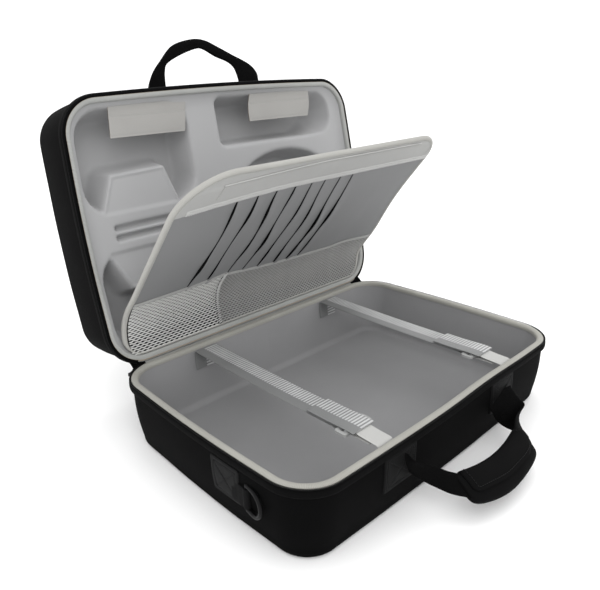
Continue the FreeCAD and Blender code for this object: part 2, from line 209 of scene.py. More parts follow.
def spline(p, n, closed=False):
    # Catmull-Rom through the points
    p = np.asarray(p, float)
    if closed:
        q = np.concatenate([p[-1:], p, p[:2]])
    else:
        q = np.concatenate([2 * p[:1] - p[1:2], p, 2 * p[-1:] - p[-2:-1]])
    out = []
    for k in range(1, len(q) - 2):
        t = np.linspace(0, 1, 24, endpoint=False)[:, None]
        a, b, c, d = q[k - 1], q[k], q[k + 1], q[k + 2]
        out.append(0.5 * (2 * b + (c - a) * t + (2 * a - 5 * b + 4 * c - d) * t ** 2 + (3 * b - a - 3 * c + d) * t ** 3))
    out = np.concatenate(out + [p[:1] if closed else p[-1:]])
    return resample(out, n)


def strands(bl, p, nrm, rx, rn, sides=4, mi=0, caps=True):
    # p (strands, points, 3) tubes lying on a surface with normals nrm
    s, n = p.shape[:2]
    t = np.gradient(p, axis=1)
    t /= np.linalg.norm(t, axis=2, keepdims=True) + 1e-12
    side = np.cross(t, nrm)
    side /= np.linalg.norm(side, axis=2, keepdims=True) + 1e-12
    up = np.cross(side, t)
    a = np.arange(sides) * 2 * math.pi / sides + math.pi / sides
    rx, rn = np.broadcast_to(rx, (n,)), np.broadcast_to(rn, (n,))
    v = (p[:, :, None] + side[:, :, None] * (rx[:, None] * np.cos(a))[None, :, :, None]
         + up[:, :, None] * (rn[:, None] * np.sin(a))[None, :, :, None])
    k, i, j = np.meshgrid(np.arange(s), np.arange(n - 1), np.arange(sides), indexing="ij")
    k, i, j = k.ravel(), i.ravel(), j.ravel()
    b = k * n * sides
    f = np.stack([b + i * sides + j, b + i * sides + (j + 1) % sides,
                  b + (i + 1) * sides + (j + 1) % sides, b + (i + 1) * sides + j], -1) + bl.n
    ln = np.concatenate([np.zeros((s, 1)), np.cumsum(np.linalg.norm(np.diff(p, axis=1), axis=2), axis=1)], 1)
    uu = np.stack([ln[k, i], ln[k, i], ln[k, i + 1], ln[k, i + 1]], -1)
    vv = np.stack([j, j + 1, j + 1, j], -1) * 0.6
    bl.f.extend(f.tolist())
    bl.uv.extend(np.stack([uu, vv], -1).reshape(-1, 2).tolist())
    bl.mi.extend([mi] * len(f))
    if caps:
        for q in range(s):
            b0 = bl.n + q * n * sides
            bl.face([b0 + j for j in range(sides)], [(0, 0)] * sides, mi)
            b1 = b0 + (n - 1) * sides
            bl.face([b1 + j for j in range(sides)][::-1], [(0, 0)] * sides, mi)
    bl.v.append(v.reshape(-1, 3))
    bl.n += s * n * sides


def stitch_line(bl, pts, nrm, pitch=3.0, length=2.1, rad=0.34, mi=0, lift=0.12):
    # thread stitches along a line lying on the surface
    pts = np.asarray(pts, float)
    c = cum(pts)
    k = max(1, int(c[-1] / pitch))
    mid = (np.arange(k) + 0.5) * c[-1] / k
    off = np.array([-0.5, -0.3, 0.0, 0.3, 0.5]) * length
    at = np.clip(mid[:, None] + off[None], 0, c[-1])
    p = np.stack([np.interp(at, c, pts[:, q]) for q in range(3)], -1)
    nn = np.broadcast_to(np.asarray(nrm, float), pts.shape)
    n = np.stack([np.interp(at, c, nn[:, q]) for q in range(3)], -1)
    n /= np.linalg.norm(n, axis=2, keepdims=True) + 1e-12
    rise = np.array([-0.9, 0.35, 0.75, 0.35, -0.9]) * rad + lift
    strands(bl, p + n * rise[None, :, None], n, rad * np.array([0.45, 0.95, 1.0, 0.95, 0.45]),
            rad * np.array([0.45, 0.9, 1.0, 0.9, 0.45]), sides=5, mi=mi)


def slab(bl, p, nrm, th, u=None, v=None, mi=0, mi_back=None, mi_end=None):
    # a sheet p (nu, nv, 3) with thickness th behind nrm, closed all round with soft edges
    nu, nv = p.shape[:2]
    th = np.broadcast_to(th, (nu, nv))
    back = p - nrm * th[..., None]
    q = np.concatenate([p, back[:, ::-1]], 1)
    u = np.arange(nu, dtype=float) if u is None else np.asarray(u, float)
    v = np.arange(nv, dtype=float) if v is None else np.asarray(v, float)
    if u.ndim == 1:
        u = np.repeat(u[:, None], nv, 1)
    if v.ndim == 1:
        v = np.repeat(v[None], nu, 0)
    uu = np.concatenate([u, u[:, ::-1], u[:, :1]], 1)
    vv = np.concatenate([v, v[:, ::-1], v[:, :1]], 1)
    mm = np.full((nu, 2 * nv), mi)
    if mi_back is not None:
        mm[:, nv:-1] = mi_back
    first = bl.grid(q, wv=True, u=np.concatenate([uu, uu[-1:]]), v=np.concatenate([vv, vv[-1:]]), mi=mm)
    for i in (0, nu - 1):
        for j in range(nv - 1):
            a = first + i * 2 * nv + j
            b = first + i * 2 * nv + 2 * nv - 1 - j
            bl.face([a, a + 1, b - 1, b], [(u[i, j], v[i, j]), (u[i, j + 1], v[i, j + 1]), (u[i, j + 1], v[i, j + 1]), (u[i, j], v[i, j])], mi if mi_end is None or i else mi_end)
    return first


def normals(p, sign=1.0):
    a = np.gradient(p, axis=0)
    b = np.gradient(p, axis=1)
    n = np.cross(a, b)
    return sign * n / (np.linalg.norm(n, axis=2, keepdims=True) + 1e-12)


# ---- materials -----------------------------------------------------------
def lin(c):
    c = np.asarray(c, float)
    return np.where(c <= 0.04045, c / 12.92, ((c + 0.055) / 1.055) ** 2.4)


class Mat:
    def __init__(self, name):
        self.m = bpy.data.materials.new(name)
        self.m.use_nodes = True
        self.t = self.m.node_tree
        self.t.nodes.clear()
        self.out = self.t.nodes.new("ShaderNodeOutputMaterial")
        self.p = self.t.nodes.new("ShaderNodeBsdfPrincipled")
        self.t.links.new(self.p.outputs[0], self.out.inputs[0])

    def node(self, kind, ins=None, out=0, **props):
        n = self.t.nodes.new(kind)
        for k, v in props.items():
            setattr(n, k, v)
        for k, v in (ins or {}).items():
            if isinstance(v, bpy.types.NodeSocket):
                self.t.links.new(v, n.inputs[k])
            else:
                n.inputs[k].default_value = v
        return n.outputs[out]

    def math(self, op, a, b=0.0, c=0.0):
        return self.node("ShaderNodeMath", {0: a, 1: b, 2: c}, operation=op)

    def set(self, **kv):
        for k, v in kv.items():
            s = self.p.inputs[k.replace("_", " ")]
            if isinstance(v, bpy.types.NodeSocket):
                self.t.links.new(v, s)
            else:
                s.default_value = v

    def coords(self, kind):
        if kind == "cloth":
            return self.node("ShaderNodeUVMap", uv_map="cloth")
        o = self.node("ShaderNodeTexCoord", out=3)
        return self.node("ShaderNodeVectorMath", {0: o, 3: 1000.0}, operation="SCALE")

    def noise(self, vec, scale, detail=2.0, rough=0.5):
        return self.node("ShaderNodeTexNoise", {"Vector": vec, "Scale": scale, "Detail": detail, "Roughness": rough})

    def mix(self, f, a, b):
        return self.node("ShaderNodeMix", {0: f, 6: a, 7: b}, out=2, data_type="RGBA")


TONE = 0.78      # the studio is lit a little over white, so the cloths are toned down by as much


def rgba(c):
    return (float(c[0]), float(c[1]), float(c[2]), 1.0)


def cloth(name, col, spread=0.18, kind="plain", pitch=(0.9, 0.9), weave=0.5, bump=0.35, depth=0.25, rough=0.88,
          spec=0.2, sheen=0.0, fuzz=1.4, fuzz_amt=0.5, blotch=0.02, blotch_amt=0.35, coord="cloth", band=None, tint=None):
    """A textile: a weave, rib or knit at its real pitch (mm), fuzz, slow colour drift, roughness and bump."""
    k = Mat(name)
    vec = k.coords(coord)
    sep = k.node("ShaderNodeSeparateXYZ", {0: vec})
    u, v, z = sep.node.outputs
    if coord != "cloth":
        u = k.math("ADD", u, z)
        v = k.math("ADD", v, k.math("MULTIPLY", z, 0.7))
    tu = k.math("MULTIPLY", u, 2 * math.pi / pitch[0])
    tv = k.math("MULTIPLY", v, 2 * math.pi / pitch[1])
    su, sv = k.math("SINE", tu), k.math("SINE", tv)
    if kind == "plain":
        w = k.math("MULTIPLY", su, sv)
    elif kind == "ribu":
        w = su
    elif kind == "ribv":
        w = sv
    elif kind == "twill":
        w = k.math("SINE", k.math("ADD", tu, tv))
    elif kind == "knit":
        w = k.math("SINE", k.math("MULTIPLY_ADD", sv, 0.9, tu))
    elif kind == "web":
        a = k.math("SINE", k.math("ADD", tu, k.math("MULTIPLY", k.math("SIGN", sv), 1.57)))
        w = k.math("MULTIPLY", a, k.math("ABSOLUTE", sv))
    fz = k.noise(vec, fuzz, 3.0, 0.6)
    bl = k.noise(vec, blotch, 3.0, 0.55)
    f = k.math("MULTIPLY_ADD", w, 0.35 * weave, 0.5)
    f = k.math("ADD", f, k.math("MULTIPLY", k.math("SUBTRACT", fz, 0.5), fuzz_amt))
    f = k.math("ADD", f, k.math("MULTIPLY", k.math("SUBTRACT", bl, 0.5), blotch_amt * 2))
    f = k.node("ShaderNodeClamp", {0: f})
    c = np.asarray(col, float) * TONE
    lo, hi = c * (1 - spread), c * (1 + spread)
    colr = k.mix(f, rgba(lo), rgba(hi))
    if band is not None:
        # a tinted line between two places across the tape
        b0, b1, bc = band
        g = k.math("MULTIPLY", k.math("GREATER_THAN", v, b0), k.math("LESS_THAN", v, b1))
        colr = k.mix(k.math("MULTIPLY", g, k.math("MULTIPLY_ADD", fz, 0.5, 0.55)), colr, rgba(bc))
    h = k.math("ADD", k.math("MULTIPLY", w, 0.5 * weave), k.math("MULTIPLY", fz, 1.1 * fuzz_amt))
    nrm = k.node("ShaderNodeBump", {"Strength": bump, "Distance": depth * 0.001, "Height": h})
    r = k.math("MULTIPLY_ADD", fz, 0.14, rough - 0.07)
    k.set(Base_Color=colr, Roughness=r, Normal=nrm)
    k.p.inputs["Specular IOR Level"].default_value = spec
    if sheen:
        k.p.inputs["Sheen Weight"].default_value = sheen
        k.p.inputs["Sheen Roughness"].default_value = 0.45
        if tint is not None:
            k.p.inputs["Sheen Tint"].default_value = rgba(tint)
    return k.m


def leather(name, col, coord="cloth"):
    k = Mat(name)
    vec = k.coords(coord)
    warp = k.node("ShaderNodeTexNoise", {"Vector": vec, "Scale": 0.35, "Detail": 2.0}, out=1)
    vec2 = k.node("ShaderNodeVectorMath", {0: vec, 1: warp}, operation="ADD")
    cell = k.node("ShaderNodeTexVoronoi", {"Vector": vec2, "Scale": 0.85}, feature="DISTANCE_TO_EDGE")
    cr = k.node("ShaderNodeMapRange", {0: cell, 1: 0.0, 2: 0.16, 3: 0.0, 4: 1.0})
    bl = k.noise(vec, 0.06, 3.0)
    c = np.asarray(col, float) * TONE
    f = k.node("ShaderNodeClamp", {0: k.math("ADD", k.math("MULTIPLY", cr, 0.6), k.math("MULTIPLY", bl, 0.4))})
    k.set(Base_Color=k.mix(f, rgba(c * 0.55), rgba(c * 1.25)),
          Roughness=k.math("MULTIPLY_ADD", bl, 0.22, 0.42),
          Normal=k.node("ShaderNodeBump", {"Strength": 0.4, "Distance": 0.0002, "Height": cr}))
    k.p.inputs["Specular IOR Level"].default_value = 0.05
    return k.m


def plastic(name, col, rough=0.35, spec=0.4, var=0.15, scratch=1.1, coat=0.0, metal=0.0, coord="obj"):
    k = Mat(name)
    vec = k.coords(coord)
    a = k.noise(vec, 0.12, 4.0, 0.6)
    b = k.noise(vec, scratch, 2.0, 0.7)
    c = np.asarray(col, float) * TONE
    f = k.node("ShaderNodeClamp", {0: k.math("ADD", k.math("MULTIPLY", a, 0.7), k.math("MULTIPLY", b, 0.3))})
    k.set(Base_Color=k.mix(f, rgba(c * (1 - var)), rgba(c * (1 + var))),
          Roughness=k.math("MULTIPLY_ADD", b, 0.2, rough - 0.1),
          Normal=k.node("ShaderNodeBump", {"Strength": 0.12, "Distance": 0.0001, "Height": b}))
    k.p.inputs["Specular IOR Level"].default_value = spec
    k.p.inputs["Metallic"].default_value = metal
    if coat:
        k.p.inputs["Coat Weight"].default_value = coat
        k.p.inputs["Coat Roughness"].default_value = 0.15
    return k.m


BLACK = np.array([0.0023, 0.0023, 0.00243])
M_OUT = cloth("outer_cloth", BLACK, spread=0.35, kind="plain", pitch=(1.1, 1.1), weave=0.7, bump=0.45, depth=0.22,
              rough=0.78, spec=0.03, sheen=0.002, fuzz=1.1, blotch=0.012, blotch_amt=0.5)
M_TAPE = cloth("zip_tape", BLACK * 0.9, spread=0.35, kind="ribv", pitch=(1.2, 0.9), weave=0.8, bump=0.5, depth=0.25,
               rough=0.8, spec=0.05, fuzz=1.6)
M_COIL = plastic("zip_coil", [0.006, 0.006, 0.0065], rough=0.45, spec=0.16, coord="cloth")
M_METAL = plastic("zip_metal", [0.007, 0.007, 0.0075], rough=0.40, spec=0.25)
M_LIN = cloth("lining", [0.34, 0.34, 0.345], spread=0.10, kind="knit", pitch=(0.8, 1.0), weave=0.5, bump=0.3, depth=0.2,
              rough=0.95, spec=0.08, sheen=0.12, fuzz=0.9, blotch=0.015)
M_BIND = cloth("rim_binding", [0.415, 0.408, 0.372], spread=0.22, kind="ribu", pitch=(1.5, 1.2), weave=0.9, bump=0.6,
               depth=0.35, rough=0.8, spec=0.2, sheen=0.06, fuzz=1.2, blotch=0.02, band=(0.0, 3.4, (0.31, 0.255, 0.19)))
M_BINDL = cloth("lid_rim_binding", [0.43, 0.435, 0.42], spread=0.22, kind="ribu", pitch=(1.5, 1.2), weave=0.9, bump=0.6,
                depth=0.35, rough=0.8, spec=0.2, sheen=0.06, fuzz=1.2, blotch=0.02, band=(5.9, 7.5, (0.31, 0.255, 0.19)))
M_BIND2 = cloth("spine_lining", [0.40, 0.40, 0.385], spread=0.16, kind="twill", pitch=(1.1, 1.1), weave=0.6, bump=0.4,
                depth=0.25, rough=0.85, spec=0.15, sheen=0.06, fuzz=1.2)
M_DBIND = cloth("divider_binding", [0.45, 0.445, 0.42], spread=0.14, kind="ribu", pitch=(1.3, 1.1), weave=0.7, bump=0.4,
                depth=0.25, rough=0.85, spec=0.18, sheen=0.06, fuzz=1.2)
M_INS = cloth("moulded_insert", [0.47, 0.47, 0.475], spread=0.07, kind="knit", pitch=(0.7, 0.9), weave=0.45, bump=0.25,
              depth=0.15, rough=0.92, spec=0.12, sheen=0.10, fuzz=0.8, blotch=0.01, blotch_amt=0.3)
M_FLAP = cloth("flap_cloth", [0.42, 0.412, 0.395], spread=0.10, kind="twill", pitch=(0.9, 0.9), weave=0.5, bump=0.3,
               depth=0.15, rough=0.85, spec=0.18, sheen=0.05, fuzz=1.0)
M_PATCH = leather("patch_leather", [0.0058, 0.0058, 0.006])
# a lighter copy of the front patches' leather: its extra lightness is painted light for the brighter end walls
M_PATCH_LIT_SIDE = leather("side_patch_leather_lit", [0.0125, 0.0125, 0.0128])
M_WEB = cloth("webbing", BLACK * 0.8, spread=0.4, kind="web", pitch=(2.2, 2.6), weave=1.0, bump=0.8, depth=0.5,
              rough=0.75, spec=0.05, fuzz=1.5)
M_GRIP = cloth("grip_pad", BLACK * 1.1, spread=0.3, kind="plain", pitch=(0.9, 0.9), weave=0.6, bump=0.35, depth=0.2,
               rough=0.8, spec=0.06, sheen=0.008, fuzz=1.2)
M_LOOP = cloth("loop_webbing", [0.008, 0.008, 0.0083], spread=0.4, kind="web", pitch=(2.2, 2.6), weave=1.0, bump=0.8, depth=0.5,
               rough=0.75, spec=0.05, fuzz=1.5)
M_RING = plastic("ring_plastic", [0.005, 0.005, 0.0054], rough=0.42, spec=0.11)
M_SRING = plastic("strap_ring", [0.46, 0.465, 0.46], rough=0.25, spec=0.5, var=0.06, coat=0.3)
M_TAB = cloth("strap_tab", [0.54, 0.54, 0.525], spread=0.10, kind="ribv", pitch=(1.0, 1.3), weave=0.7, bump=0.4, depth=0.25,
              rough=0.6, spec=0.35, sheen=0.05, fuzz=1.0)
# the rib pattern also drives the colour, in step with the 4 mm moulded ribs: crests lighter and hollows darker, partly
# the tape's own tone and partly painted highlight and shade on the ribs
M_STRAP = cloth("strap_elastic", [0.42, 0.425, 0.425], spread=0.5, kind="ribu", pitch=(4.0, 1.4), weave=1.5, bump=0.3,
                depth=0.3, rough=0.45, spec=0.5, sheen=0.05, fuzz=0.8, fuzz_amt=0.3, blotch=0.03)
M_NET = cloth("mesh_net", [0.74, 0.74, 0.72], spread=0.14, kind="ribu", pitch=(0.5, 0.5), weave=0.5, bump=0.3, depth=0.12,
              rough=0.8, spec=0.2, fuzz=1.5, blotch=0.05)
M_NET2 = cloth("mesh_net_fine", [0.40, 0.40, 0.39], spread=0.16, kind="ribu", pitch=(0.5, 0.5), weave=0.5, bump=0.3, depth=0.12,
               rough=0.85, spec=0.12, fuzz=1.5, blotch=0.05)
M_HEAD = cloth("header_tape", [0.46, 0.46, 0.45], spread=0.10, kind="plain", pitch=(0.8, 0.8), weave=0.5, bump=0.3,
               depth=0.15, rough=0.8, spec=0.2, sheen=0.05)
M_HEM = cloth("header_hem", [0.60, 0.60, 0.59], spread=0.12, kind="ribu", pitch=(1.2, 0.9), weave=0.8, bump=0.45,
              depth=0.2, rough=0.7, spec=0.3)
M_DIV = cloth("divider_cloth", [0.265, 0.267, 0.27], spread=0.08, kind="plain", pitch=(0.7, 0.7), weave=0.5, bump=0.25,
              depth=0.12, rough=0.72, spec=0.25, fuzz=1.0, blotch=0.012)
# near-black cloth: painted shade for the dark slits under each sleeve's open edge; it also colours the sewn strip
# between the pockets
M_SLIT_SHADE_AND_SEAM = cloth("sleeve_inside", [0.012, 0.012, 0.0125], spread=0.3, kind="knit", pitch=(0.9, 1.1), weave=0.6, bump=0.3, depth=0.15,
               rough=0.95, spec=0.04)
# darker cloths for the pad behind the nets: painted shade for the shadowed gaps between the net's strands
M_NET_SHADE_LEFT = cloth("pocket_back_shade_left", [0.030, 0.030, 0.030], spread=0.25, kind="knit", pitch=(1.0, 1.2), weave=0.6, bump=0.3, depth=0.15,
                rough=0.95, spec=0.04)
M_NET_SHADE_RIGHT = cloth("pocket_back_shade_right", [0.17, 0.17, 0.166], spread=0.2, kind="knit", pitch=(1.0, 1.2), weave=0.6, bump=0.3, depth=0.15,
                rough=0.95, spec=0.05)
M_EDGE = cloth("flap_edge", [0.23, 0.17, 0.115], spread=0.2, kind="ribu", pitch=(0.8, 0.8), weave=0.6, bump=0.3, depth=0.15,
               rough=0.9, spec=0.1)
M_STRAP2 = cloth("strap_selvedge", [0.22, 0.224, 0.224], spread=0.12, kind="ribv", pitch=(1.2, 1.0), weave=0.6, bump=0.35,
                 depth=0.2, rough=0.5, spec=0.45, sheen=0.05, fuzz=0.8, blotch=0.03)
M_THREAD = cloth("black_thread", BLACK * 2.6, spread=0.3, kind="ribu", pitch=(0.5, 0.5), weave=0.8, bump=0.3, depth=0.1,
                 rough=0.6, spec=0.25)
M_GTHREAD = cloth("grey_thread", [0.50, 0.50, 0.48], spread=0.15, kind="ribu", pitch=(0.5, 0.5), weave=0.8, bump=0.3,
                  depth=0.1, rough=0.6, spec=0.3)


# ---- rim outline ---------------------------------------------------------
def outline(a=A, b=B, r=R, nl=44, ns=28, na=18):
    # counter-clockwise from the middle of the back: points and outward normals
    p, n = [], []

    def seg(q0, q1, m, nn):
        for t in np.arange(m) / m:
            p.append((q0[0] + (q1[0] - q0[0]) * t, q0[1] + (q1[1] - q0[1]) * t))
            n.append(nn)

    def arc(cx, cy, a0):
        for t in np.arange(na) / na * 90:
            c, s = math.cos(math.radians(a0 + t)), math.sin(math.radians(a0 + t))
            p.append((cx + r * c, cy + r * s))
            n.append((c, s))

    seg((0, b), (-(a - r), b), nl // 2, (0, 1))
    arc(-(a - r), b - r, 90)
    seg((-a, b - r), (-a, -(b - r)), ns, (-1, 0))
    arc(-(a - r), -(b - r), 180)
    seg((-(a - r), -b), (a - r, -b), nl, (0, -1))
    arc(a - r, -(b - r), 270)
    seg((a, -(b - r)), (a, b - r), ns, (1, 0))
    arc(a - r, b - r, 0)
    seg((a - r, b), (0, b), nl // 2, (0, 1))
    return np.array(p), np.array(n)


OP, ON = outline()
OLEN = cum(np.concatenate([OP, OP[:1]]))


def front_sag(x, y, h):
    # the tray's front wall gives a little at the rim beside the handle
    return 2.6 * np.exp(-((x - 62) / 62.0) ** 2) * smooth(25, 84, h) * smooth(-120, -150, y)


def rear(y):
    # the back of both rims stands a little further out than the middle
    return y + 3.1 * smooth(70, 152, y)


def pull_hollow(x, y, h):
    # the wall gives way behind each zip pull, so that the pull can swing in
    return 3.1 * smooth(70, 152, y) * smooth(186, 197, np.abs(x)) * smooth(219, 211, np.abs(x)) * smooth(75, 64, h) * smooth(34, 44, h)


def rim_ring(off, h, world, scale=1.0, und=0.0, sag=False, hollow=False):
    q = (OP - ON * off) * scale
    x, y = bow(q[:, 0], q[:, 1])
    y = rear(y) - (pull_hollow(x, y, h) if hollow else 0.0)
    hh = np.full(len(q), float(h))
    if und:
        k = undulate(q[:, 0], q[:, 1], hh + 40, und)
        x, y = x + ON[:, 0] * k, y + ON[:, 1] * k
    if sag:
        y = y + front_sag(x, y, hh)
    return world(x, y, hh)


def lathe(name, rings, world, mats, angle=35.0, und=0.0, sag=False, hollow=False):
    """Rings are (scale, offset, height, flat?) from one middle to the other, closed by small end faces."""
    p = np.stack([rim_ring(o, h, world, k, und if not fl else 0.0, sag, hollow) for k, o, h, fl in rings])
    bl = Build()
    nr, nc = p.shape[:2]
    flat = np.array([r[3] for r in rings])
    v = np.concatenate([[0], np.cumsum([abs(rings[i + 1][1] - rings[i][1]) + abs(rings[i + 1][2] - rings[i][2])
                                        + abs(rings[i + 1][0] - rings[i][0]) * 190 for i in range(nr - 1)])])
    u2 = np.repeat(OLEN[None], nr + 1, 0)
    v2 = np.repeat(np.concatenate([v, v[-1:]])[:, None], nc + 1, 1)
    q = np.stack([(OP - ON * o) * k for k, o, h, fl in rings])
    q = np.concatenate([q, q[:, :1]], 1)
    m = np.zeros((nr, nc), bool)
    m[:-1] = (flat[:-1] & flat[1:])[:, None]
    first = bl.grid(p, wv=True, u=u2, v=v2, mask=~m)
    qq = np.concatenate([q, q[-1:]])
    n0 = bl.n
    bl.n = first
    keep = bl.v.pop()
    bl.grid(p, wv=True, u=qq[..., 0], v=qq[..., 1], mask=m)
    bl.v.pop()
    bl.v.append(keep)
    bl.n = n0
    bl.face(range(first, first + nc), q[0, :-1])
    bl.face(range(first + (nr - 1) * nc, first + nr * nc), q[-1, :-1])
    return bl.obj(name, mats, angle)


def sweep(name, prof, world, mats, part=None, angle=50.0, sag=False, und=0.0):
    """A closed section (offset, height) run round the rim, or round part of it with closed ends."""
    prof = np.asarray(prof, float)
    p = np.stack([rim_ring(o, h, world, 1.0, und, sag) for o, h in prof], 1)
    pv = cum(np.concatenate([prof, prof[:1]]))
    bl = Build()
    if part is None:
        bl.grid(p, wu=True, wv=True, u=OLEN, v=pv)
    else:
        p = p[part]
        u = OLEN[:-1][part]
        f = bl.grid(p, wv=True, u=np.concatenate([u, u[-1:]]), v=pv)
        k = len(prof)
        bl.face(range(f, f + k), prof)
        e = f + (len(p) - 1) * k
        bl.face(range(e, e + k), prof)
    return bl.obj(name, mats, angle)


# ---- tray ----------------------------------------------------------------
def fillet(o0, h0, o1, h1, n, turn=1):
    # quarter ellipse from (o0, h0) leaving level to (o1, h1) arriving upright
    t = np.linspace(0, math.pi / 2, n)
    return [(1.0, o0 + (o1 - o0) * math.sin(q), h0 + (h1 - h0) * (1 - math.cos(q)), False) for q in t]


def wall(o0, h0, o1, h1, n, belly):
    return [(1.0, o0 + (o1 - o0) * t - belly * math.sin(math.pi * t), h0 + (h1 - h0) * t, False)
            for t in np.linspace(0, 1, n)]


mids = [0.01, 0.2, 0.4, 0.6, 0.78, 0.92]
rings = [(k, 16.5, 0.0, True) for k in mids]
rings += [(1.0, 16.5, 0.0, True)] + fillet(15.0, 0.0, 8.0, 10.0, 9)
rings += wall(8.0, 10.0, 2.0, H - 9, 12, 2.2)[1:]
rings += [(1.0, 2.0, H - 5.4, False), (1.0, 6.3, H - 5.2, False), (1.0, 6.3, H - 9, False), (1.0, 13.4, 10, False), (1.0, 14.4, 5.6, False), (1.0, 17, 4.6, True)]
rings += [(k, 17.0, 4.6, True) for k in mids[::-1]]
tray = place(lathe("tray_shell", rings, base_w, [M_OUT], und=0.35, sag=True, hollow=True), "base", ["base_shell"])

rings = [(k, 17.5, 4.9, True) for k in mids] + [(1.0, 17.5, 4.9, True), (1.0, 14.2, 6.5, False), (1.0, 13.2, 11, False), (1.0, 6.6, H - 9, False), (1.0, 6.6, H - 5.0, False), (1.0, 8.2, H - 5.0, False)]
rings += [(1.0, 8.2, H - 9, False)] + [(1.0, 8.2 + 6.8 * t, H - 9 - 63 * t, False) for t in np.linspace(0, 1, 9)[1:]]
rings += [(1.0, 15.0 + 8 * (1 - math.cos(q)), 13.5 - 7.5 * math.sin(q), False) for q in np.linspace(0, math.pi / 2, 8)[1:]]
rings += [(k, 23.0, 6.0, True) for k in [1.0] + mids[::-1]]
lin_o = place(lathe("tray_lining", rings, base_w, [M_LIN], und=0.25, sag=True), "base", ["base_lining"])


def bind_prof(h0, s):
    # rim binding section: h0 the free edge, s the way to the wall
    q = [(0.35, 5.9), (0.15, 3.4), (0.45, 1.7), (1.5, 0.75), (3.2, 0.25), (5.0, 0.15), (6.8, 0.4), (8.1, 1.1), (8.8, 2.3), (9.0, 4.2), (8.7, 5.9), (4.5, 6.2)]
    return [(o, h0 + s * h) for o, h in q]


def tape_prof(h0, s):
    q = [(1.7, 11.4), (0.2, 11.2), (-1.1, 10.5), (-1.9, 9.3), (-2.1, 7.8), (-2.1, 5.0), (-1.8, 3.4), (-1.0, 2.3), (0.1, 1.9), (0.2, 6.0), (1.7, 6.4)]
    return [(o, h0 + s * h) for o, h in q]


def lid_tape_prof():
    # on the lid the tape also laps over the outer edge of the binding
    return [(1.7, 11.4), (0.2, 11.2), (-1.1, 10.5), (-1.9, 9.3), (-2.1, 7.8), (-2.1, 5.0), (-1.9, 2.6), (-1.2, 1.0), (0.2, 0.1),
            (1.6, -0.2), (2.7, -0.15), (2.9, 0.3), (1.2, 0.7), (0.05, 2.2), (0.2, 6.0), (1.7, 6.4)]


ZIP = np.array([i for i in range(len(OP)) if OP[i, 1] < 127.0 or abs(OP[i, 0]) > 196.5])
place(sweep("tray_binding", bind_prof(H, -1), base_w, [M_BIND], sag=True), "base", ["base_binding"])
place(sweep("tray_zip_tape", tape_prof(H, -1), base_w, [M_TAPE], part=ZIP, sag=True), "base", ["base_zip_tape"])


def coil(name, off, h, world, sag, body):
    # the zip's nylon coil along the tape's free edge
    c = np.stack([rim_ring(off, h, world, sag=sag), rim_ring(off - 1.0, h, world, sag=sag), rim_ring(off, h + 1.0, world, sag=sag)])[:, ZIP]
    ln = cum(c[0])
    turns = int(ln[-1] / 1.55)
    t = np.linspace(0, turns, turns * 9 + 1)
    s = t / turns * ln[-1]
    g = [np.stack([np.interp(s, ln, q[:, k]) for k in range(3)], -1) for q in c]
    e1, e2 = g[1] - g[0], g[2] - g[0]
    e1 /= np.linalg.norm(e1, axis=1, keepdims=True)
    e2 /= np.linalg.norm(e2, axis=1, keepdims=True)
    ph = 2 * math.pi * t
    p = g[0] + e1 * (1.05 * np.cos(ph))[:, None] + e2 * (0.62 * np.sin(ph))[:, None]
    out = e1 * np.cos(ph)[:, None] + e2 * np.sin(ph)[:, None]
    bl = Build()
    strands(bl, p[None], out[None], 0.36, 0.33, sides=4)
    return place(bl.obj(name, [M_COIL], angle=None), body)


coil("tray_zip_coil", -0.55, H - 1.25, base_w, True, "base")

# ---- lid -----------------------------------------------------------------
rings = [(1.0, 6.3, 6.0, False), (1.0, 2.0, 5.6, False), (1.0, 2.0, 9.0, False)]
rings += wall(2.0, 9.0, 2.6, HL - 7, 10, 1.3)[1:]
rings += [(1.0, 2.6 + 10 * (1 - math.cos(q)), HL - 7 + 10 * math.sin(q), False) for q in np.linspace(0, math.pi / 2, 11)[1:]]
rings = [(k, 20.0, HL - 5.5, True) for k in mids] + [(1.0, 20, HL - 5.5, True), (1.0, 13.5, HL - 14, False), (1.0, 6.3, 9.0, False)] + rings
rings += [(k, 14.0, HL + 3, True) for k in [1.0] + mids[::-1]]
place(lathe("lid_cover", rings, lidc_w, [M_OUT], und=0.35), "lid", ["lid_shell"])
place(sweep("lid_rim_binding", bind_prof(0.0, 1), lidc_w, [M_BINDL]), "lid", ["lid_binding"])
place(sweep("lid_tape", lid_tape_prof(), lidc_w, [M_TAPE], part=ZIP), "lid", ["lid_zip_tape"])
coil("lid_zip_coil", -0.55, 1.25, lidc_w, False, "lid")


# moulded insert: one foam block with its recesses pressed in
def sd_rr(x, d, x0, x1, d0, d1, r):
    qx = np.abs(x - (x0 + x1) / 2) - (x1 - x0) / 2 + r
    qd = np.abs(d - (d0 + d1) / 2) - (d1 - d0) / 2 + r
    return np.hypot(np.maximum(qx, 0), np.maximum(qd, 0)) + np.minimum(np.maximum(qx, qd), 0) - r


def sd_poly(x, d, pts):
    pts = np.asarray(pts, float)
    best = np.full(x.shape, 1e9)
    inside = np.zeros(x.shape, bool)
    for (ax, ad), (bx, bd) in zip(pts, np.roll(pts, -1, 0)):
        ex, ed = bx - ax, bd - ad
        t = np.clip(((x - ax) * ex + (d - ad) * ed) / (ex * ex + ed * ed), 0, 1)
        best = np.minimum(best, np.hypot(x - ax - t * ex, d - ad - t * ed))
        cross = ((ad <= d) & (bd > d)) | ((bd <= d) & (ad > d))
        with np.errstate(divide="ignore", invalid="ignore"):
            xi = ax + (d - ad) * ex / (ed if abs(ed) > 1e-9 else 1e-9)
        inside ^= cross & (x < xi)
    return np.where(inside, -best, best)


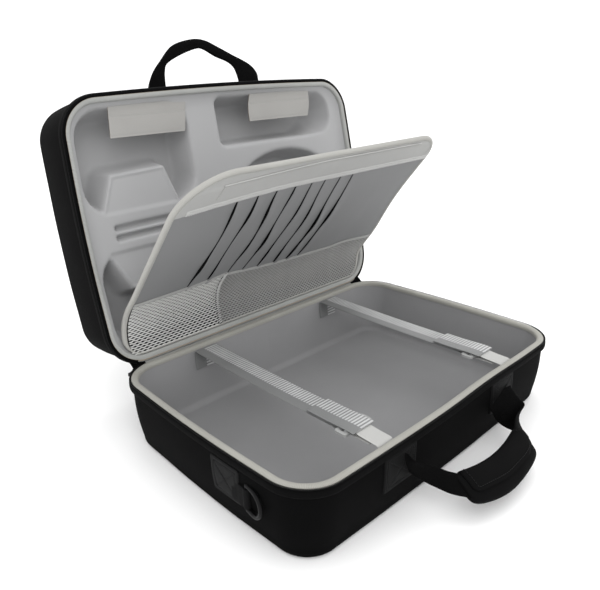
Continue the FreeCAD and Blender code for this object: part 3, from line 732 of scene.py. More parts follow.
def press(f, depth, w, lip=1.3, power=2.4):
    # depth below the face for a recess with signed distance f
    s = lip * np.logaddexp(0, -f / lip) - lip * math.log(2) * np.exp(-np.abs(f) / lip) * 0.6
    t = np.clip(s / w, 0, 1)
    return depth * (1 - (1 - t) ** power)


def smax(a, b, k):
    h = np.clip(0.5 + 0.5 * (a - b) / k, 0, 1)
    return b + (a - b) * h + k * h * (1 - h)


def insert_n(x, d):
    y = HY - d
    e = -sd_rr(x, -y, -(A - 8.4), A - 8.4, -(B - 8.4), B - 8.4, R - 8.4)
    n = 10.0 - 5.4 * np.clip(1 - e / 17.0, 0, 1) ** 2.2
    boss_u = sd_poly(x, d, [(-173, 222), (-105, 224), (-88, 172), (-193, 172)]) - 3
    up = smax(sd_rr(x, d, -210, -59, 181, 299, 34), -boss_u, 4.0)
    boss_l = sd_poly(x, d, [(-173, 91), (-103, 91), (-86, 144), (-197, 144)]) - 3
    lo = smax(sd_rr(x, d, -210, -59, 18, 135, 34), -boss_l, 4.0)
    n = n + press(up, 38.0, 15.0) + press(lo, 38.0, 15.0)
    n = n + press(boss_u + 3.0, 2.2, 3.0) * smooth(178, 184, d) + press(boss_l + 3.0, 2.2, 3.0) * smooth(138, 132, d)
    for d0 in (158.6, 147.0):
        n = n + press(sd_rr(x, d, -182, -72, d0, d0 + 8.6, 4.0), 7.5, 4.2, lip=0.9, power=2.0)
    wide = 11 + 26 * smooth(138, 184, x)
    cab = sd_rr(x, d, -11, 199, 239, 299, 9)
    cab2 = sd_rr(x, d, -60, 199, 239, 299, 27)
    cab = cab + (cab2 - cab) * smooth(60, 150, x)
    n = n + press(cab, 42.0, wide)
    q = np.hypot((x - 94) / 95, (d - 163) / 60)
    with np.errstate(divide="ignore", invalid="ignore"):
        gr = np.sqrt(((x - 94) / 95 ** 2) ** 2 + ((d - 163) / 60 ** 2) ** 2) / np.maximum(q, 1e-6)
    ell = (q - 1) / np.maximum(gr, 1e-4)
    rd = np.where(d > 163, ell, sd_rr(x, d, -1, 189, 18, 320, 84))
    n = n + press(rd, 44.0, 14.0)
    return n


step = 1.5
gx = np.linspace(-(A - 8.4), A - 8.4, int(2 * (A - 8.4) / step) + 1)
gy = np.linspace(-(B - 8.4), B - 8.4, int(2 * (B - 8.4) / step) + 1)
X, Y = np.meshgrid(gx, gy, indexing="ij")
rad = R - 8.4
cxn, cyn = A - 8.4 - rad, B - 8.4 - rad
ox, oy = np.maximum(np.abs(X) - cxn, 0), np.maximum(np.abs(Y) - cyn, 0)
dist = np.hypot(ox, oy)
outside = dist > rad + 1e-6
k = np.where(outside, rad / np.maximum(dist, 1e-9), 1.0)
X = np.where(outside, np.sign(X) * (cxn + ox * k), X)
Y = np.where(outside, np.sign(Y) * (cyn + oy * k), Y)
full = outside
mask = np.zeros(X.shape, bool)
mask[:-1, :-1] = ~(full[:-1, :-1] & full[1:, :-1] & full[:-1, 1:] & full[1:, 1:])
NN = insert_n(X, HY - Y)
bx_, by_ = bow(X, Y)
by_ = rear(by_)
P = lidc_w(bx_, by_, NN)
bl = Build()
bl.grid(P, u=X, v=Y, mask=mask)
me_ins = bl.obj("lid_insert_block", [M_INS], angle=None, recalc=False)
bm = bmesh.new()
bm.from_mesh(me_ins.data)
bmesh.ops.delete(bm, geom=[q for q in bm.verts if not q.link_faces], context="VERTS")
edge = [e for e in bm.edges if e.is_boundary]
ret = bmesh.ops.extrude_edge_only(bm, edges=edge)
back = Vector((0, SO, CO))
new = [q for q in ret["geom"] if isinstance(q, bmesh.types.BMVert)]
origin = Vector((0, HY / 1000, HZ / 1000))
for q in new:
    n_now = (q.co - origin).dot(back)
    q.co += back * (0.062 - n_now)
    q.co.x *= 0.955
loop_edges = [e for e in ret["geom"] if isinstance(e, bmesh.types.BMEdge)]
bmesh.ops.contextual_create(bm, geom=loop_edges)
bmesh.ops.recalc_face_normals(bm, faces=bm.faces)
bm.to_mesh(me_ins.data)
bm.free()
me_ins.data.polygons.foreach_set("use_smooth", np.ones(len(me_ins.data.polygons), bool))
me_ins.data.set_sharp_from_angle(angle=math.radians(70))
place(me_ins, "lid", ["lid_insert", "lid_lining"])


# ---- cloth flaps over the recesses ---------------------------------------
def flap(name, node, sewn, loose, bulge, lift, side):
    """sewn and loose are the (x, d) ends, left then right, of the sewn edge and of the loose one."""
    u = np.linspace(0, 1, 64)[:, None]
    w = np.linspace(0, 1, 26)[None]
    (ax, ad), (bx, bd) = sewn
    (cx, cd), (ex, ed) = loose
    x = (ax + (bx - ax) * u) * (1 - w) + (cx + (ex - cx) * u) * w + side * np.sin(math.pi * w) * (1 - 2 * u)
    d = (ad + (bd - ad) * u) * (1 - w) + (cd + (ed - cd) * u) * w
    n = 8.7 - bulge * np.sin(math.pi * u) ** 0.6 * np.sin(math.pi * 0.66 * w) - 0.3 * np.sin(9 * u + 2 * w) * w
    n = n - lift * np.exp(-((u / 0.14) ** 2)) * w ** 2
    n = n + 0.45 * np.exp(-(((w - 0.34) / 0.03) ** 2)) + 0.4 * np.exp(-(((w - 0.95) / 0.02) ** 2))
    p = lid_w(x, d, n)
    nr = normals(p)
    nr *= np.sign((nr * np.array([0, -SO, -CO])).sum(-1, keepdims=True))
    bl = Build()
    slab(bl, p, nr, 0.9, u=x, v=d, mi_end=1)
    o = place(bl.obj(name, [M_FLAP, M_EDGE], angle=50), "lid", [node])
    st = Build()
    for row in (1, 9):
        stitch_line(st, p[2:-2, row], nr[2:-2, row], 2.6, 1.9, 0.2)
    s = place(st.obj(name + "_stitching", [M_GTHREAD], angle=None), "lid")


flap("upper_flap", "upper_holder_flap", ((-164, 304), (-57, 304)), ((-169, 266.5), (-65, 265.5)), 1.5, 0.7, 0.0)
flap("lower_flap", "lower_holder_flap", ((-172, 13), (-65, 13)), ((-172, 52), (-65, 52)), 1.5, 0.5, 0.0)
flap("cable_flap_cloth", "cable_flap", ((48, 304), (160, 304)), ((41, 268), (153, 267)), 1.7, 0.2, -2.5)


# ---- spine ---------------------------------------------------------------
hb = [(156.4, 53.5), (156.7, 62), (156.7, 70), (156.6, 76), (157.2, 78.6), (158.5, 80.5), (159.0, 82.6)]
hm = [(160.2, 84.0), (161.9, 84.6)]
hl = [(0.1, 6.0), (1.8, 9.5), (2.0, 16), (2.0, 24), (2.2, 32)]
xs = np.concatenate([np.linspace(-206, -183, 14), np.linspace(-182.5, 182.5, 60)[1:-1], np.linspace(183, 206, 14)])
rows_ = []
for x_ in xs:
    # beyond the straight part both rims turn away round their corners
    dr = 43 - math.sqrt(43 ** 2 - max(abs(x_) - 182.5, 0) ** 2)
    up_ = 1 - 0.82 * float(smooth(193, 203, abs(x_)))
    pts = [(y_ - dr, max(z_, 76 - (76 - z_) * up_)) for y_, z_ in hb] + [(y_ - dr * k, z_ + dr * (1 - k)) for (y_, z_), k in zip(hm, (0.5, 0.25))]
    pts += [tuple(lid_w(0, d_ + dr, n_)[1:]) for d_, n_ in hl]
    rows_.append(spline(pts, 48))
path2 = np.array(rows_)
x2 = np.repeat(xs[:, None], path2.shape[1], 1)
p = arr(x2, path2[..., 0], path2[..., 1])
nr = normals(p)
nr *= np.sign((nr[:, :1] * np.array([0, 1, 0])).sum(-1, keepdims=True))
path = path2[len(xs) // 2]
bl = Build()
slab(bl, p + nr * 1.1, nr, 1.0, u=x2, v=cum(path)[None] + 0 * x2, mi_back=np.where(np.abs(xs) < 187, 1, 0)[:, None])
spine = place(bl.obj("spine_cloth", [M_OUT, M_BIND2], angle=60), None, ["hinge_strip"])
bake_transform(spine)


# ---- divider -------------------------------------------------------------
T0, T1 = 9.4 - FD, DL
RB = 24.0
RT = {-1: 62.0, 1: 46.0}


def side_x(t, sign, inset=0.0):
    # the divider's left (-1) or right (1) edge at t
    t = np.asarray(t, float)
    r1, r0 = RT[sign] - inset, RB - inset
    a = np.clip(t - (T1 - inset - r1), 0, r1)
    b = np.clip((T0 + inset + r0) - t, 0, r0)
    w = DW - inset - (r1 - np.sqrt(np.maximum(r1 * r1 - a * a, 0))) - (r0 - np.sqrt(np.maximum(r0 * r0 - b * b, 0)))
    return sign * w


def across(u, t, inset):
    # u 0..1 from the left edge to the right one
    lo, hi = side_x(t, -1, inset), side_x(t, 1, inset)
    return lo + (hi - lo) * u


def head_low(x):
    return 204.0 - 12.0 * np.clip((-47 - np.asarray(x, float)) / 140, 0, 1.05) ** 1.5


def hem_t(x):
    x = np.asarray(x, float)
    return np.where(x < -71, 34.0 + 9.5 * np.clip((x + 198) / 127, 0, 1) ** 2, 26.5 + 17.0 * np.exp(-np.clip(x + 71, 0, 400) / 80)
                    + 11.0 * smooth(120, 204, x))


ts = np.concatenate([T0 + 2 + 22 * (1 - np.cos(np.linspace(0, math.pi / 2, 9))), np.linspace(-20, 190, 84)[1:],
                     T1 - 2 - 55 * (1 - np.sin(np.linspace(0, math.pi / 2, 18)))[1:]])
us = np.linspace(0, 1, 90)
t2 = np.repeat(ts[None], len(us), 0)
x = across(us[:, None], t2, 2.0)
edge_d = np.minimum(np.minimum(DW - 2 - np.abs(x), t2 - T0 - 1), T1 - 1 - t2)
crown = 0.7 * (1 - np.clip(1 - edge_d / 28, 0, 1) ** 2)
fr, bk = panel_w(x, t2, -1.1 - crown * 0.6), panel_w(x, t2, 1.2 + crown)
q = np.concatenate([fr, bk[:, ::-1]], 1)
nv = len(ts)
mm = np.zeros((len(us), 2 * nv), int)
# below the pockets' hem the pad's front takes the darker cloths, painted shade behind the nets
mm[:, :nv] = np.where(t2 < hem_t(x) - 3, np.where(x < -71, 1, 2), 0)
bl = Build()
uu = np.concatenate([x, x[:, ::-1], x[:, :1]], 1)
vv = np.concatenate([t2, t2[:, ::-1], t2[:, :1]], 1)
first = bl.grid(q, wv=True, u=np.concatenate([uu, uu[-1:]]), v=np.concatenate([vv, vv[-1:]]), mi=mm)
for i in (0, len(us) - 1):
    for j in range(nv - 1):
        a, b = first + i * 2 * nv + j, first + i * 2 * nv + 2 * nv - 1 - j
        bl.face([a, a + 1, b - 1, b], [(x[i, j], t2[i, j])] * 4)
pad = place(bl.obj("divider_pad", [M_DIV, M_NET_SHADE_LEFT, M_NET_SHADE_RIGHT], angle=60), None, ["divider_board", "divider_root"])
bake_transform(pad)


def div_outline(inset=0.0, n=560):
    # closed outline of the divider in (x, t)
    w, r0 = DW - inset, RB - inset
    rl, rr = RT[-1] - inset, RT[1] - inset
    top, bot = T1 - inset, T0 + inset
    p = []
    p += [(x_, bot) for x_ in np.linspace(0, -(w - r0), 40)]
    p += [(-(w - r0) - r0 * math.sin(a), bot + r0 * (1 - math.cos(a))) for a in np.linspace(0, math.pi / 2, 20)[1:]]
    p += [(-w, t_) for t_ in np.linspace(bot + r0, top - rl, 90)[1:]]
    p += [(-(w - rl) - rl * math.cos(a), top - rl + rl * math.sin(a)) for a in np.linspace(0, math.pi / 2, 30)[1:]]
    p += [(x_, top) for x_ in np.linspace(-(w - rl), w - rr, 80)[1:]]
    p += [(w - rr + rr * math.sin(a), top - rr + rr * math.cos(a)) for a in np.linspace(0, math.pi / 2, 26)[1:]]
    p += [(w, t_) for t_ in np.linspace(top - rr, bot + r0, 90)[1:]]
    p += [(w - r0 + r0 * math.cos(a), bot + r0 - r0 * math.sin(a)) for a in np.linspace(0, math.pi / 2, 20)[1:]]
    p += [(x_, bot) for x_ in np.linspace(w - r0, 0, 40)[1:]]
    return resample(np.array(p), n)


bprof = [(5.6, -1.9), (5.2, -2.6), (4.2, -2.95), (2.6, -3.0), (1.2, -2.55), (0.3, -1.6), (0.0, 0.0), (0.3, 1.6), (1.2, 2.55),
         (2.6, 3.0), (4.2, 2.95), (5.2, 2.6), (5.6, 1.9), (3.0, 1.0), (3.0, -1.0)]
secs = []
for ins, m in bprof:
    o, o_ = div_outline(ins)[:-1], div_outline(ins * 0.45)[:-1]
    o = o + (o_ - o) * smooth(T0 + 26, T0 + 8, o[:, 1:])
    secs.append(panel_w(o[:, 0], o[:, 1], m))
p = np.stack(secs, 1)
bl = Build()
bl.grid(p, wu=True, wv=True, u=np.concatenate([cum(div_outline(2.0)), [0]])[: len(p) + 1], v=cum(np.array(bprof + bprof[:1])))
dbind = place(bl.obj("divider_edge_binding", [M_DBIND], angle=60), None, ["divider_binding"])
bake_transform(dbind)
FRONT = np.array([0, -math.sin(math.radians(49.35)), -math.cos(math.radians(49.35))])


def div_normal(p):
    n = normals(p)
    return n * np.sign((n * FRONT).sum(-1, keepdims=True))


def div_piece(name, nodes, parts, mats):
    """parts are (x, t, m, thickness, material index) sheets of one sewn piece."""
    bl = Build()
    for x, t, m, th, mi in parts:
        p = panel_w(x, t, m)
        slab(bl, p, div_normal(p), th, u=x, v=t, mi=mi)
    o = place(bl.obj(name, mats, angle=50), "divider", nodes)
    return o


# face panel at the left, then eight sleeves, each lying over the one before it, open to the left
SLIT = [(-127.0, -122.7), (-99.0, -95.4), (-67.6, -69.0), (-42.2, -41.9), (-15.6, -16.0), (15.3, 5.9), (39.6, 32.1), (62.3, 53.7)]
MIDX = [6.0, 5.0, 6.5, 7.0, 7.5, 7.0, 9.0, 9.5]
GAPE = [(178, 2.4, 84, 3.4), (168, 2.6, 62, 1.6), (160, 3.2, 96, 1.6), (190, 1.2, 104, 3.2),
        (150, 1.4, 70, 1.8), (136, 1.8, 58, 2.0), (118, 3.4, 62, 2.4), (126, 3.0, 70, 1.4)]
SWAY = [(1.4, 2.2), (1.6, 0.4), (2.2, 3.4), (1.3, 5.1), (1.4, 1.2), (1.6, 2.8), (2.0, 4.4), (1.6, 0.2)]


def slit_x(i, ta):
    f = np.clip((ta - 42) / 160, 0, 1)
    return (SLIT[i][0] + (SLIT[i][1] - SLIT[i][0]) * f + MIDX[i] * np.sin(math.pi * f) ** 1.2
            + SWAY[i][0] * np.sin(ta / 25.0 + SWAY[i][1]) * np.sin(math.pi * f) ** 0.7)


v = np.linspace(0, 1, 110)[None]
ta = 36 + 168 * v


def up_t(x):
    lo, hi = hem_t(x) - 9, head_low(x) + 4
    return lo + (hi - lo) * v


def tongue(i, m0):
    # the part of a sleeve hidden under the next one, in a near-black cloth that paints the shade inside the slit
    u = np.linspace(0, 1, 6)[:, None]
    x = slit_x(i, ta) - 0.9 + 9.0 * u
    return x, up_t(x), m0 + 0 * x, 0.5, 1


u = np.linspace(0, 1, 20)[:, None]
x = -198.6 + (slit_x(0, ta) - 0.9 + 198.6) * u
m = -1.95 - 0.15 * np.sin(math.pi * v) * np.sin(math.pi * u)
div_piece("face_panel", ["divider_face"], [(x, up_t(x), m, 0.7, 0), tongue(0, -1.9)], [M_DIV, M_SLIT_SHADE_AND_SEAM])
for i in range(8):
    x0 = slit_x(i, ta)
    x1 = slit_x(i + 1, ta) - 0.9 if i < 7 else 198.6 + 0 * ta
    nu = 26 if i < 7 else 60
    u = np.linspace(0, 1, nu)[:, None] ** 1.25
    x = x0 + (x1 - x0) * u
    t1_, g1, t2_, g2 = GAPE[i]
    far = u * (x1 - x0)
    gape = 0.76 * (g1 * np.exp(-((ta - t1_) / 26.0) ** 2) + g2 * np.exp(-((ta - t2_) / 22.0) ** 2)) + 0.45
    tilt = np.clip(1 - far / (26.5 if i < 7 else 60), 0, 1)
    ends = np.clip(np.sin(math.pi * np.clip((ta - 34) / 174, 0, 1)) * 3, 0.2, 1)
    m = -2.05 - 0.75 * tilt - gape * np.exp(-(far / 9.0) ** 2) * ends - 0.25 * np.sin(math.pi * u) * np.sin(ta / 17 + i)
    parts = [(x, up_t(x), m, 0.55, 0)]
    if i < 7:
        parts.append(tongue(i + 1, -2.0))
    div_piece("sleeve_%d" % (i + 1), ["media_sleeve_%d" % (i + 1)], parts, [M_DIV, M_SLIT_SHADE_AND_SEAM])

# header band: a flat pocket across the top, pale hem below, piped seam above
u = np.linspace(0, 1, 120)[:, None]
v = np.linspace(0, 1, 30)[None]
tl = head_low(across(u, 200.0, 4.6))
t = tl + (T1 - 4.4 - tl) * (1 - (1 - v) ** 1.4)
x = across(u, t, 4.6)


def seam_t(x):
    return 238.6 - 10.0 * np.clip((-10 - np.asarray(x, float)) / 145, 0, 1.2) ** 1.2


below = smooth(seam_t(x) + 0.5, seam_t(x) - 4.0, t)
m = -2.4 - 0.75 * below - 0.2 * np.sin(u * 18) * np.sin(math.pi * v)
div_piece("header_band", ["divider_header"], [(x, t, m, 0.7, 0)], [M_HEAD])
bl = Build()
uh = np.linspace(0, 1, 160)[:, None]
vh = np.linspace(0, 1, 9)[None]
xh = -186.5 + 385.0 * uh + 0 * vh
th2 = head_low(xh) - 0.6 + 7.8 * vh + 0.25 * np.sin(xh / 3.1) * (vh < 0.2)
mh = -3.45 - 0.5 * np.sin(math.pi * vh) ** 0.6 + 0.15 * np.sin(xh / 4.3)
ph_ = panel_w(xh, th2, mh)
slab(bl, ph_, div_normal(ph_), 0.8, u=xh, v=th2)
place(bl.obj("header_hem", [M_HEM], angle=50), "divider")
bl = Build()
xs_ = np.linspace(-154, 158, 150)
pp = panel_w(xs_, seam_t(xs_), -3.1)
strands(bl, pp[None], np.broadcast_to(FRONT, pp.shape)[None], 0.85, 0.7, sides=7)
place(bl.obj("header_piping", [M_HEM], angle=None), "divider")
st = Build()
ps = panel_w(xs_, seam_t(xs_) - 2.2, -3.3)
stitch_line(st, ps, FRONT, 2.8, 2.1, 0.26)
stitch_line(st, panel_w(np.linspace(-155.6, -153.0, 20), np.linspace(208, 227, 20), -3.35), FRONT, 1.7, 1.5, 0.34)
stitch_line(st, panel_w(np.full(12, 190.0), np.linspace(214, 226, 12), -3.2), FRONT, 2.4, 1.8, 0.22)
xs_ = np.linspace(-184, 196, 260)
for k in (0.9, 6.0):
    stitch_line(st, panel_w(xs_, head_low(xs_) - 0.6 + k, -3.95), FRONT, 2.6, 1.9, 0.22)
o = div_outline(4.6, 900)
inside = o[:, 1] > 50
k0 = int(np.argmax(inside))
o = o[k0:k0 + int(inside.sum())]
stitch_line(st, panel_w(o[:, 0], o[:, 1], -2.95), FRONT, 2.7, 2.0, 0.22)
place(st.obj("divider_stitching", [M_GTHREAD], angle=None), "divider")


# ---- net pockets over the fold -------------------------------------------
def net_m(x, t, x0, x1):
    a = np.clip((x - x0) / (x1 - x0), 0, 1)
    b = np.clip((t + 45) / 81, 0, 1)
    return -2.4 - 1.6 * np.sin(math.pi * a) ** 0.5 * np.sin(math.pi * b) ** 0.8 * (0.8 + 0.2 * np.sin(5 * a + 3 * b))


def net(name, node, x0, x1, lam, pit, rx, rn, mat):
    # knitted net: wavy strands, each touching its neighbours in turn
    xx = np.linspace(x0, x1, int((x1 - x0) / lam * 8))
    wave = np.clip(np.sin(2 * math.pi * (xx - x0) / lam) * 1.5, -1, 1)
    S, T = [], []
    rows = int(85 / pit)
    for k in range(rows + 1):
        top = hem_t(xx) - 1.5
        tc = -45 + (top + 45) * k / rows + (1 if k % 2 else -1) * wave * pit * 0.13
        S.append(xx)
        T.append(tc)
    S, T = np.array(S), np.array(T)
    m = net_m(S, T, x0, x1)
    p = panel_w(S, T, m)
    n = panel_w(S, T, m - 1.0) - p
    n /= np.linalg.norm(n, axis=2, keepdims=True)
    bl = Build()
    strands(bl, p, n, rx, rn, sides=4)
    o = place(bl.obj(name, [mat], angle=None), None, [node])
    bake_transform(o)
    return o


net("net_pocket_left", "mesh_pocket_left", -197.0, -72.5, 7.2, 3.05, 0.98, 0.5, M_NET)
net("net_pocket_right", "mesh_pocket_right", -69.5, 197.0, 6.0, 3.0, 1.15, 0.42, M_NET2)

# hem along the pockets' top and the sewn strip between them
bl = Build()
for x0, x1 in ((-198.2, -71.2), (-70.8, 198.2)):
    u = np.linspace(0, 1, 110)[:, None]
    v = np.linspace(0, 1, 9)[None]
    x = x0 + (x1 - x0) * u + 0 * v
    t = hem_t(x) - 4.2 + 6.0 * v
    m = net_m(x, t, x0, x1) - 0.5 - 0.55 * np.sin(math.pi * v) ** 0.6 + 0.5 * np.exp(-(((v - 0.72) / 0.07) ** 2))
    p = panel_w(x, t, m)
    slab(bl, p, div_normal(p), 0.9, u=x, v=t)
hem = place(bl.obj("pocket_hem", [M_HEAD], angle=50), None)
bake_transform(hem)
bl = Build()
u = np.linspace(0, 1, 60)[:, None]
v = np.linspace(0, 1, 5)[None]
t = -45 + (hem_t(-71.0) + 45 + 1) * u + 0 * v
x = -73.4 + 4.8 * v + 0 * t
p = panel_w(x, t, -2.7 - 0.5 * np.sin(math.pi * v))
n = normals(p)
n *= np.sign((n * np.array([0, -0.9, -0.4])).sum(-1, keepdims=True))
slab(bl, p, n, 0.7, u=t, v=x, mi=1)
zt = np.linspace(-44, float(hem_t(-71.0)), 56)
fine = np.linspace(0, 55, 55 * 6 + 1)
zz_ = panel_w(np.interp(fine, np.arange(56), np.where(np.arange(56) % 2 == 0, -73.6, -68.2)), np.interp(fine, np.arange(56), zt), -3.7)[None]
strands(bl, zz_, np.broadcast_to(np.array([0, -0.9, -0.4]), zz_.shape), 0.6, 0.5, sides=5)
seam = place(bl.obj("pocket_seam", [M_HEM, M_SLIT_SHADE_AND_SEAM], angle=50), None)
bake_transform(seam)


# ---- sewn patches --------------------------------------------------------
def patch(name, node, to_w, u0, u1, v0, v1, r, th, body, mat=None):
    nu, nv = 44, 40
    cross = True
    vv = np.concatenate([v0 + r * (1 - np.cos(np.linspace(0, math.pi / 2, 8))), np.linspace(v0 + r, v1 - r, nv - 14)[1:],
                         v1 - r + r * np.sin(np.linspace(0, math.pi / 2, 8))[1:]])
    dv = np.maximum(np.maximum(v0 + r - vv, vv - (v1 - r)), 0)
    half = (u1 - u0) / 2 - (r - np.sqrt(np.maximum(r * r - dv * dv, 0)))
    un = np.concatenate([-1 + 0.12 * (1 - np.cos(np.linspace(0, math.pi / 2, 7))), np.linspace(-0.88, 0.88, nu - 12)[1:], 0.88 + 0.12 * np.sin(np.linspace(0, math.pi / 2, 7))[1:]])
    uu = (u0 + u1) / 2 + un[:, None] * half[None]
    v2 = np.repeat(vv[None], len(un), 0)
    e = np.minimum(np.minimum(uu - u0, u1 - uu), np.minimum(v2 - v0, v1 - v2))
    hgt = th * np.sqrt(np.clip(1 - (1 - np.clip(e / 2.2, 0, 1)) ** 2, 0, 1))
    ein = 4.6
    hgt = hgt - 0.45 * np.exp(-((e - ein) / 0.8) ** 2)
    a = (uu - u0) / (u1 - u0) * 2 - 1
    b = (v2 - v0) / (v1 - v0) * 2 - 1
    if cross:
        dd = np.minimum(np.abs(a - b), np.abs(a + b)) * (u1 - u0) / 2 * 0.7
        hgt = hgt - 0.4 * np.exp(-(dd / 0.9) ** 2) * (e > ein)
    hgt = hgt + 0.25 * np.sin(uu / 6.0) * np.sin(v2 / 7.0) * np.clip(e / 6, 0, 1)
    p = to_w(uu, v2, np.maximum(hgt, 0.02))
    q = to_w(uu, v2, -0.8 + 0 * hgt)
    bl = Build()
    g = np.concatenate([p, q[:, ::-1]], 1)
    U = np.concatenate([uu, uu[:, ::-1], uu[:, :1]], 1)
    V = np.concatenate([v2, v2[:, ::-1], v2[:, :1]], 1)
    f = bl.grid(g, wv=True, u=np.concatenate([U, U[-1:]]), v=np.concatenate([V, V[-1:]]))
    k = len(vv)
    for i in (0, len(un) - 1):
        for j in range(k - 1):
            s, t = f + i * 2 * k + j, f + i * 2 * k + 2 * k - 1 - j
            bl.face([s, s + 1, t - 1, t], [(uu[i, j], v2[i, j])] * 4)
    place(bl.obj(name, [mat or M_PATCH], angle=50), body, [node])
    st = Build()

    def line(pts):
        pts = resample(np.array(pts, float), max(8, int(cum(np.array(pts, float))[-1] / 1.0)))
        w0 = to_w(pts[:, 0], pts[:, 1], np.full(len(pts), th - 0.35))
        w1 = to_w(pts[:, 0], pts[:, 1], np.full(len(pts), th + 0.65))
        stitch_line(st, w0, w1 - w0, 2.7, 2.0, 0.3)

    i0, i1, j0, j1 = u0 + ein, u1 - ein, v0 + ein, v1 - ein
    line([(i0, j0), (i1, j0), (i1, j1), (i0, j1), (i0, j0)])
    if cross:
        line([(i0, j0), (i1, j1)])
        line([(i0, j1), (i1, j0)])
    place(st.obj(name + "_stitching", [M_THREAD], angle=None), body)


def wall_belly(z):
    # how far the tray's wall stands outside its straight draft
    t = np.clip((z - 10) / (H - 19), 0, 1)
    return off_base(z) - (8.0 - 6.0 * t) + 2.2 * np.sin(math.pi * t) - 0.1


def front_wall(x, z, h):
    x, z, h = np.broadcast_arrays(np.asarray(x, float), np.asarray(z, float), np.asarray(h, float))
    y = -(B - off_base(z) + wall_belly(z))
    bx, by = bow(x, y)
    return base_w(bx, by + front_sag(bx, by, z) - h, z)


def left_wall(y, z, h, sign=-1):
    y, z, h = np.broadcast_arrays(np.asarray(y, float), np.asarray(z, float), np.asarray(h, float))
    x = sign * (A - off_base(z) + wall_belly(z))
    bx, by = bow(x, y)
    return base_w(bx + sign * h, y, z)


def right_wall(y, z, h):
    return left_wall(y, z, h, 1)


def lid_front(x, n, h):
    x, n, h = np.broadcast_arrays(np.asarray(x, float), np.asarray(n, float), np.asarray(h, float))
    y = -(B - (2.0 + 0.6 * (n - 9) / (HL - 16)) + 1.3 * np.sin(math.pi * np.clip((n - 9) / (HL - 16), 0, 1)))
    bx, by = bow(x, y)
    return lidc_w(bx, by - h, n)


patch("front_patch_left", "handle_patch_left", front_wall, -124, -76, 34, 75, 4, 2.0, "base")
patch("front_patch_right", "handle_patch_right", front_wall, 68, 116, 34, 75, 4, 2.0, "base")
# the end patches use the lighter leather copy, which paints the end walls' light
patch("end_patch_left", "side_patch_left", left_wall, -69, -27, 29, 70, 3, 1.3, "base", M_PATCH_LIT_SIDE)
patch("end_patch_right", "side_patch_right", right_wall, -69, -27, 29, 70, 3, 1.3, "base", M_PATCH_LIT_SIDE)
patch("lid_patch_left", "lid_handle_patch_left", lid_front, -104, -56, 22, 62, 4, 2.0, "lid")
patch("lid_patch_right", "lid_handle_patch_right", lid_front, 44, 92, 22, 62, 4, 2.0, "lid")


# ---- carry handle --------------------------------------------------------
WIDE, FACE = np.array([0, 0.79, 0.613]), np.array([0, -0.613, 0.79])


def ribbon(path, wide, width, th, sections=15):
    # a band along path, wide the way across it, with soft rounded edges
    t = np.gradient(path, axis=0)
    t /= np.linalg.norm(t, axis=1, keepdims=True)
    w = wide - (wide * t).sum(1, keepdims=True) * t
    w /= np.linalg.norm(w, axis=1, keepdims=True)
    side = np.cross(t, w)
    ang = np.linspace(0, 2 * math.pi, sections * 2, endpoint=False)
    cx = np.sign(np.cos(ang)) * np.abs(np.cos(ang)) ** 0.35
    sx = np.sign(np.sin(ang)) * np.abs(np.sin(ang)) ** 0.75
    p = path[:, None] + side[:, None] * (sx * th / 2)[None, :, None] + w[:, None] * (cx[None] * width[:, None] / 2)[..., None]
    return p, cum(path), cx * 0.5


# middle line, way across and width: the ends lie flat under the patches and turn on their way to the grip
hp = [(-100, -153.8, 56.5, -0.5, 0, 0.85, 26), (-92, -157.5, 54.5, -0.5, 0, 0.85, 26), (-85, -168, 49, -0.4, 0.2, 0.85, 24),
      (-76, -182, 43, -0.2, 0.4, 0.85, 21), (-68, -194, 38.5, -0.1, 0.6, 0.75, 20), (-58, -203, 34.5, 0, 0.79, 0.613, 22),
      (-46, -210.5, 30, 0, 0.79, 0.613, 25), (-20, -214.5, 29, 0, 0.79, 0.613, 26), (10, -214.8, 29.5, 0, 0.79, 0.613, 26),
      (36, -211.5, 31, 0, 0.79, 0.613, 26), (54, -204.5, 33.5, 0, 0.79, 0.613, 26), (67, -196, 34.5, 0.15, 0.7, 0.65, 28),
      (78, -184, 37, 0.45, 0.5, 0.7, 33), (84, -171, 42, 0.75, 0.3, 0.6, 38), (85, -161, 50, 0.85, 0.1, 0.5, 40), (86, -154.5, 58, 0.9, 0, 0.45, 40)]
path = spline(hp, 150)
wide_, width_ = path[:, 3:6], path[:, 6]
path = path[:, :3]
bl = Build()
p, ln, cc = ribbon(path, wide_, width_, 2.6)
first = bl.grid(p, wv=True, u=np.concatenate([ln, ln[-1:]]), v=np.concatenate([cc * 29.0, cc[:1] * 29.0]))
k = p.shape[1]
bl.face(range(first, first + k), [(0, 0)] * k)
bl.face(range(first + (len(p) - 1) * k, first + len(p) * k), [(0, 0)] * k)
web = place(bl.obj("handle_strap", [M_WEB], angle=60), None, ["handle_webbing"])
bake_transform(web)


# padded wrap: a crowned pad closed round the webbing, its top layer lapped over the lower one
def grip_w(x, a, b):
    # a across the grip, b out of its face
    f = 1 - ((x - 1.0) / 57.0) ** 2
    mid = arr(x, -206.8 - 7.6 * f, 32.6 - 3.3 * f)
    return mid + a[..., None] * WIDE + b[..., None] * FACE


def rounded(c, k):
    return np.sign(c) * np.abs(c) ** k


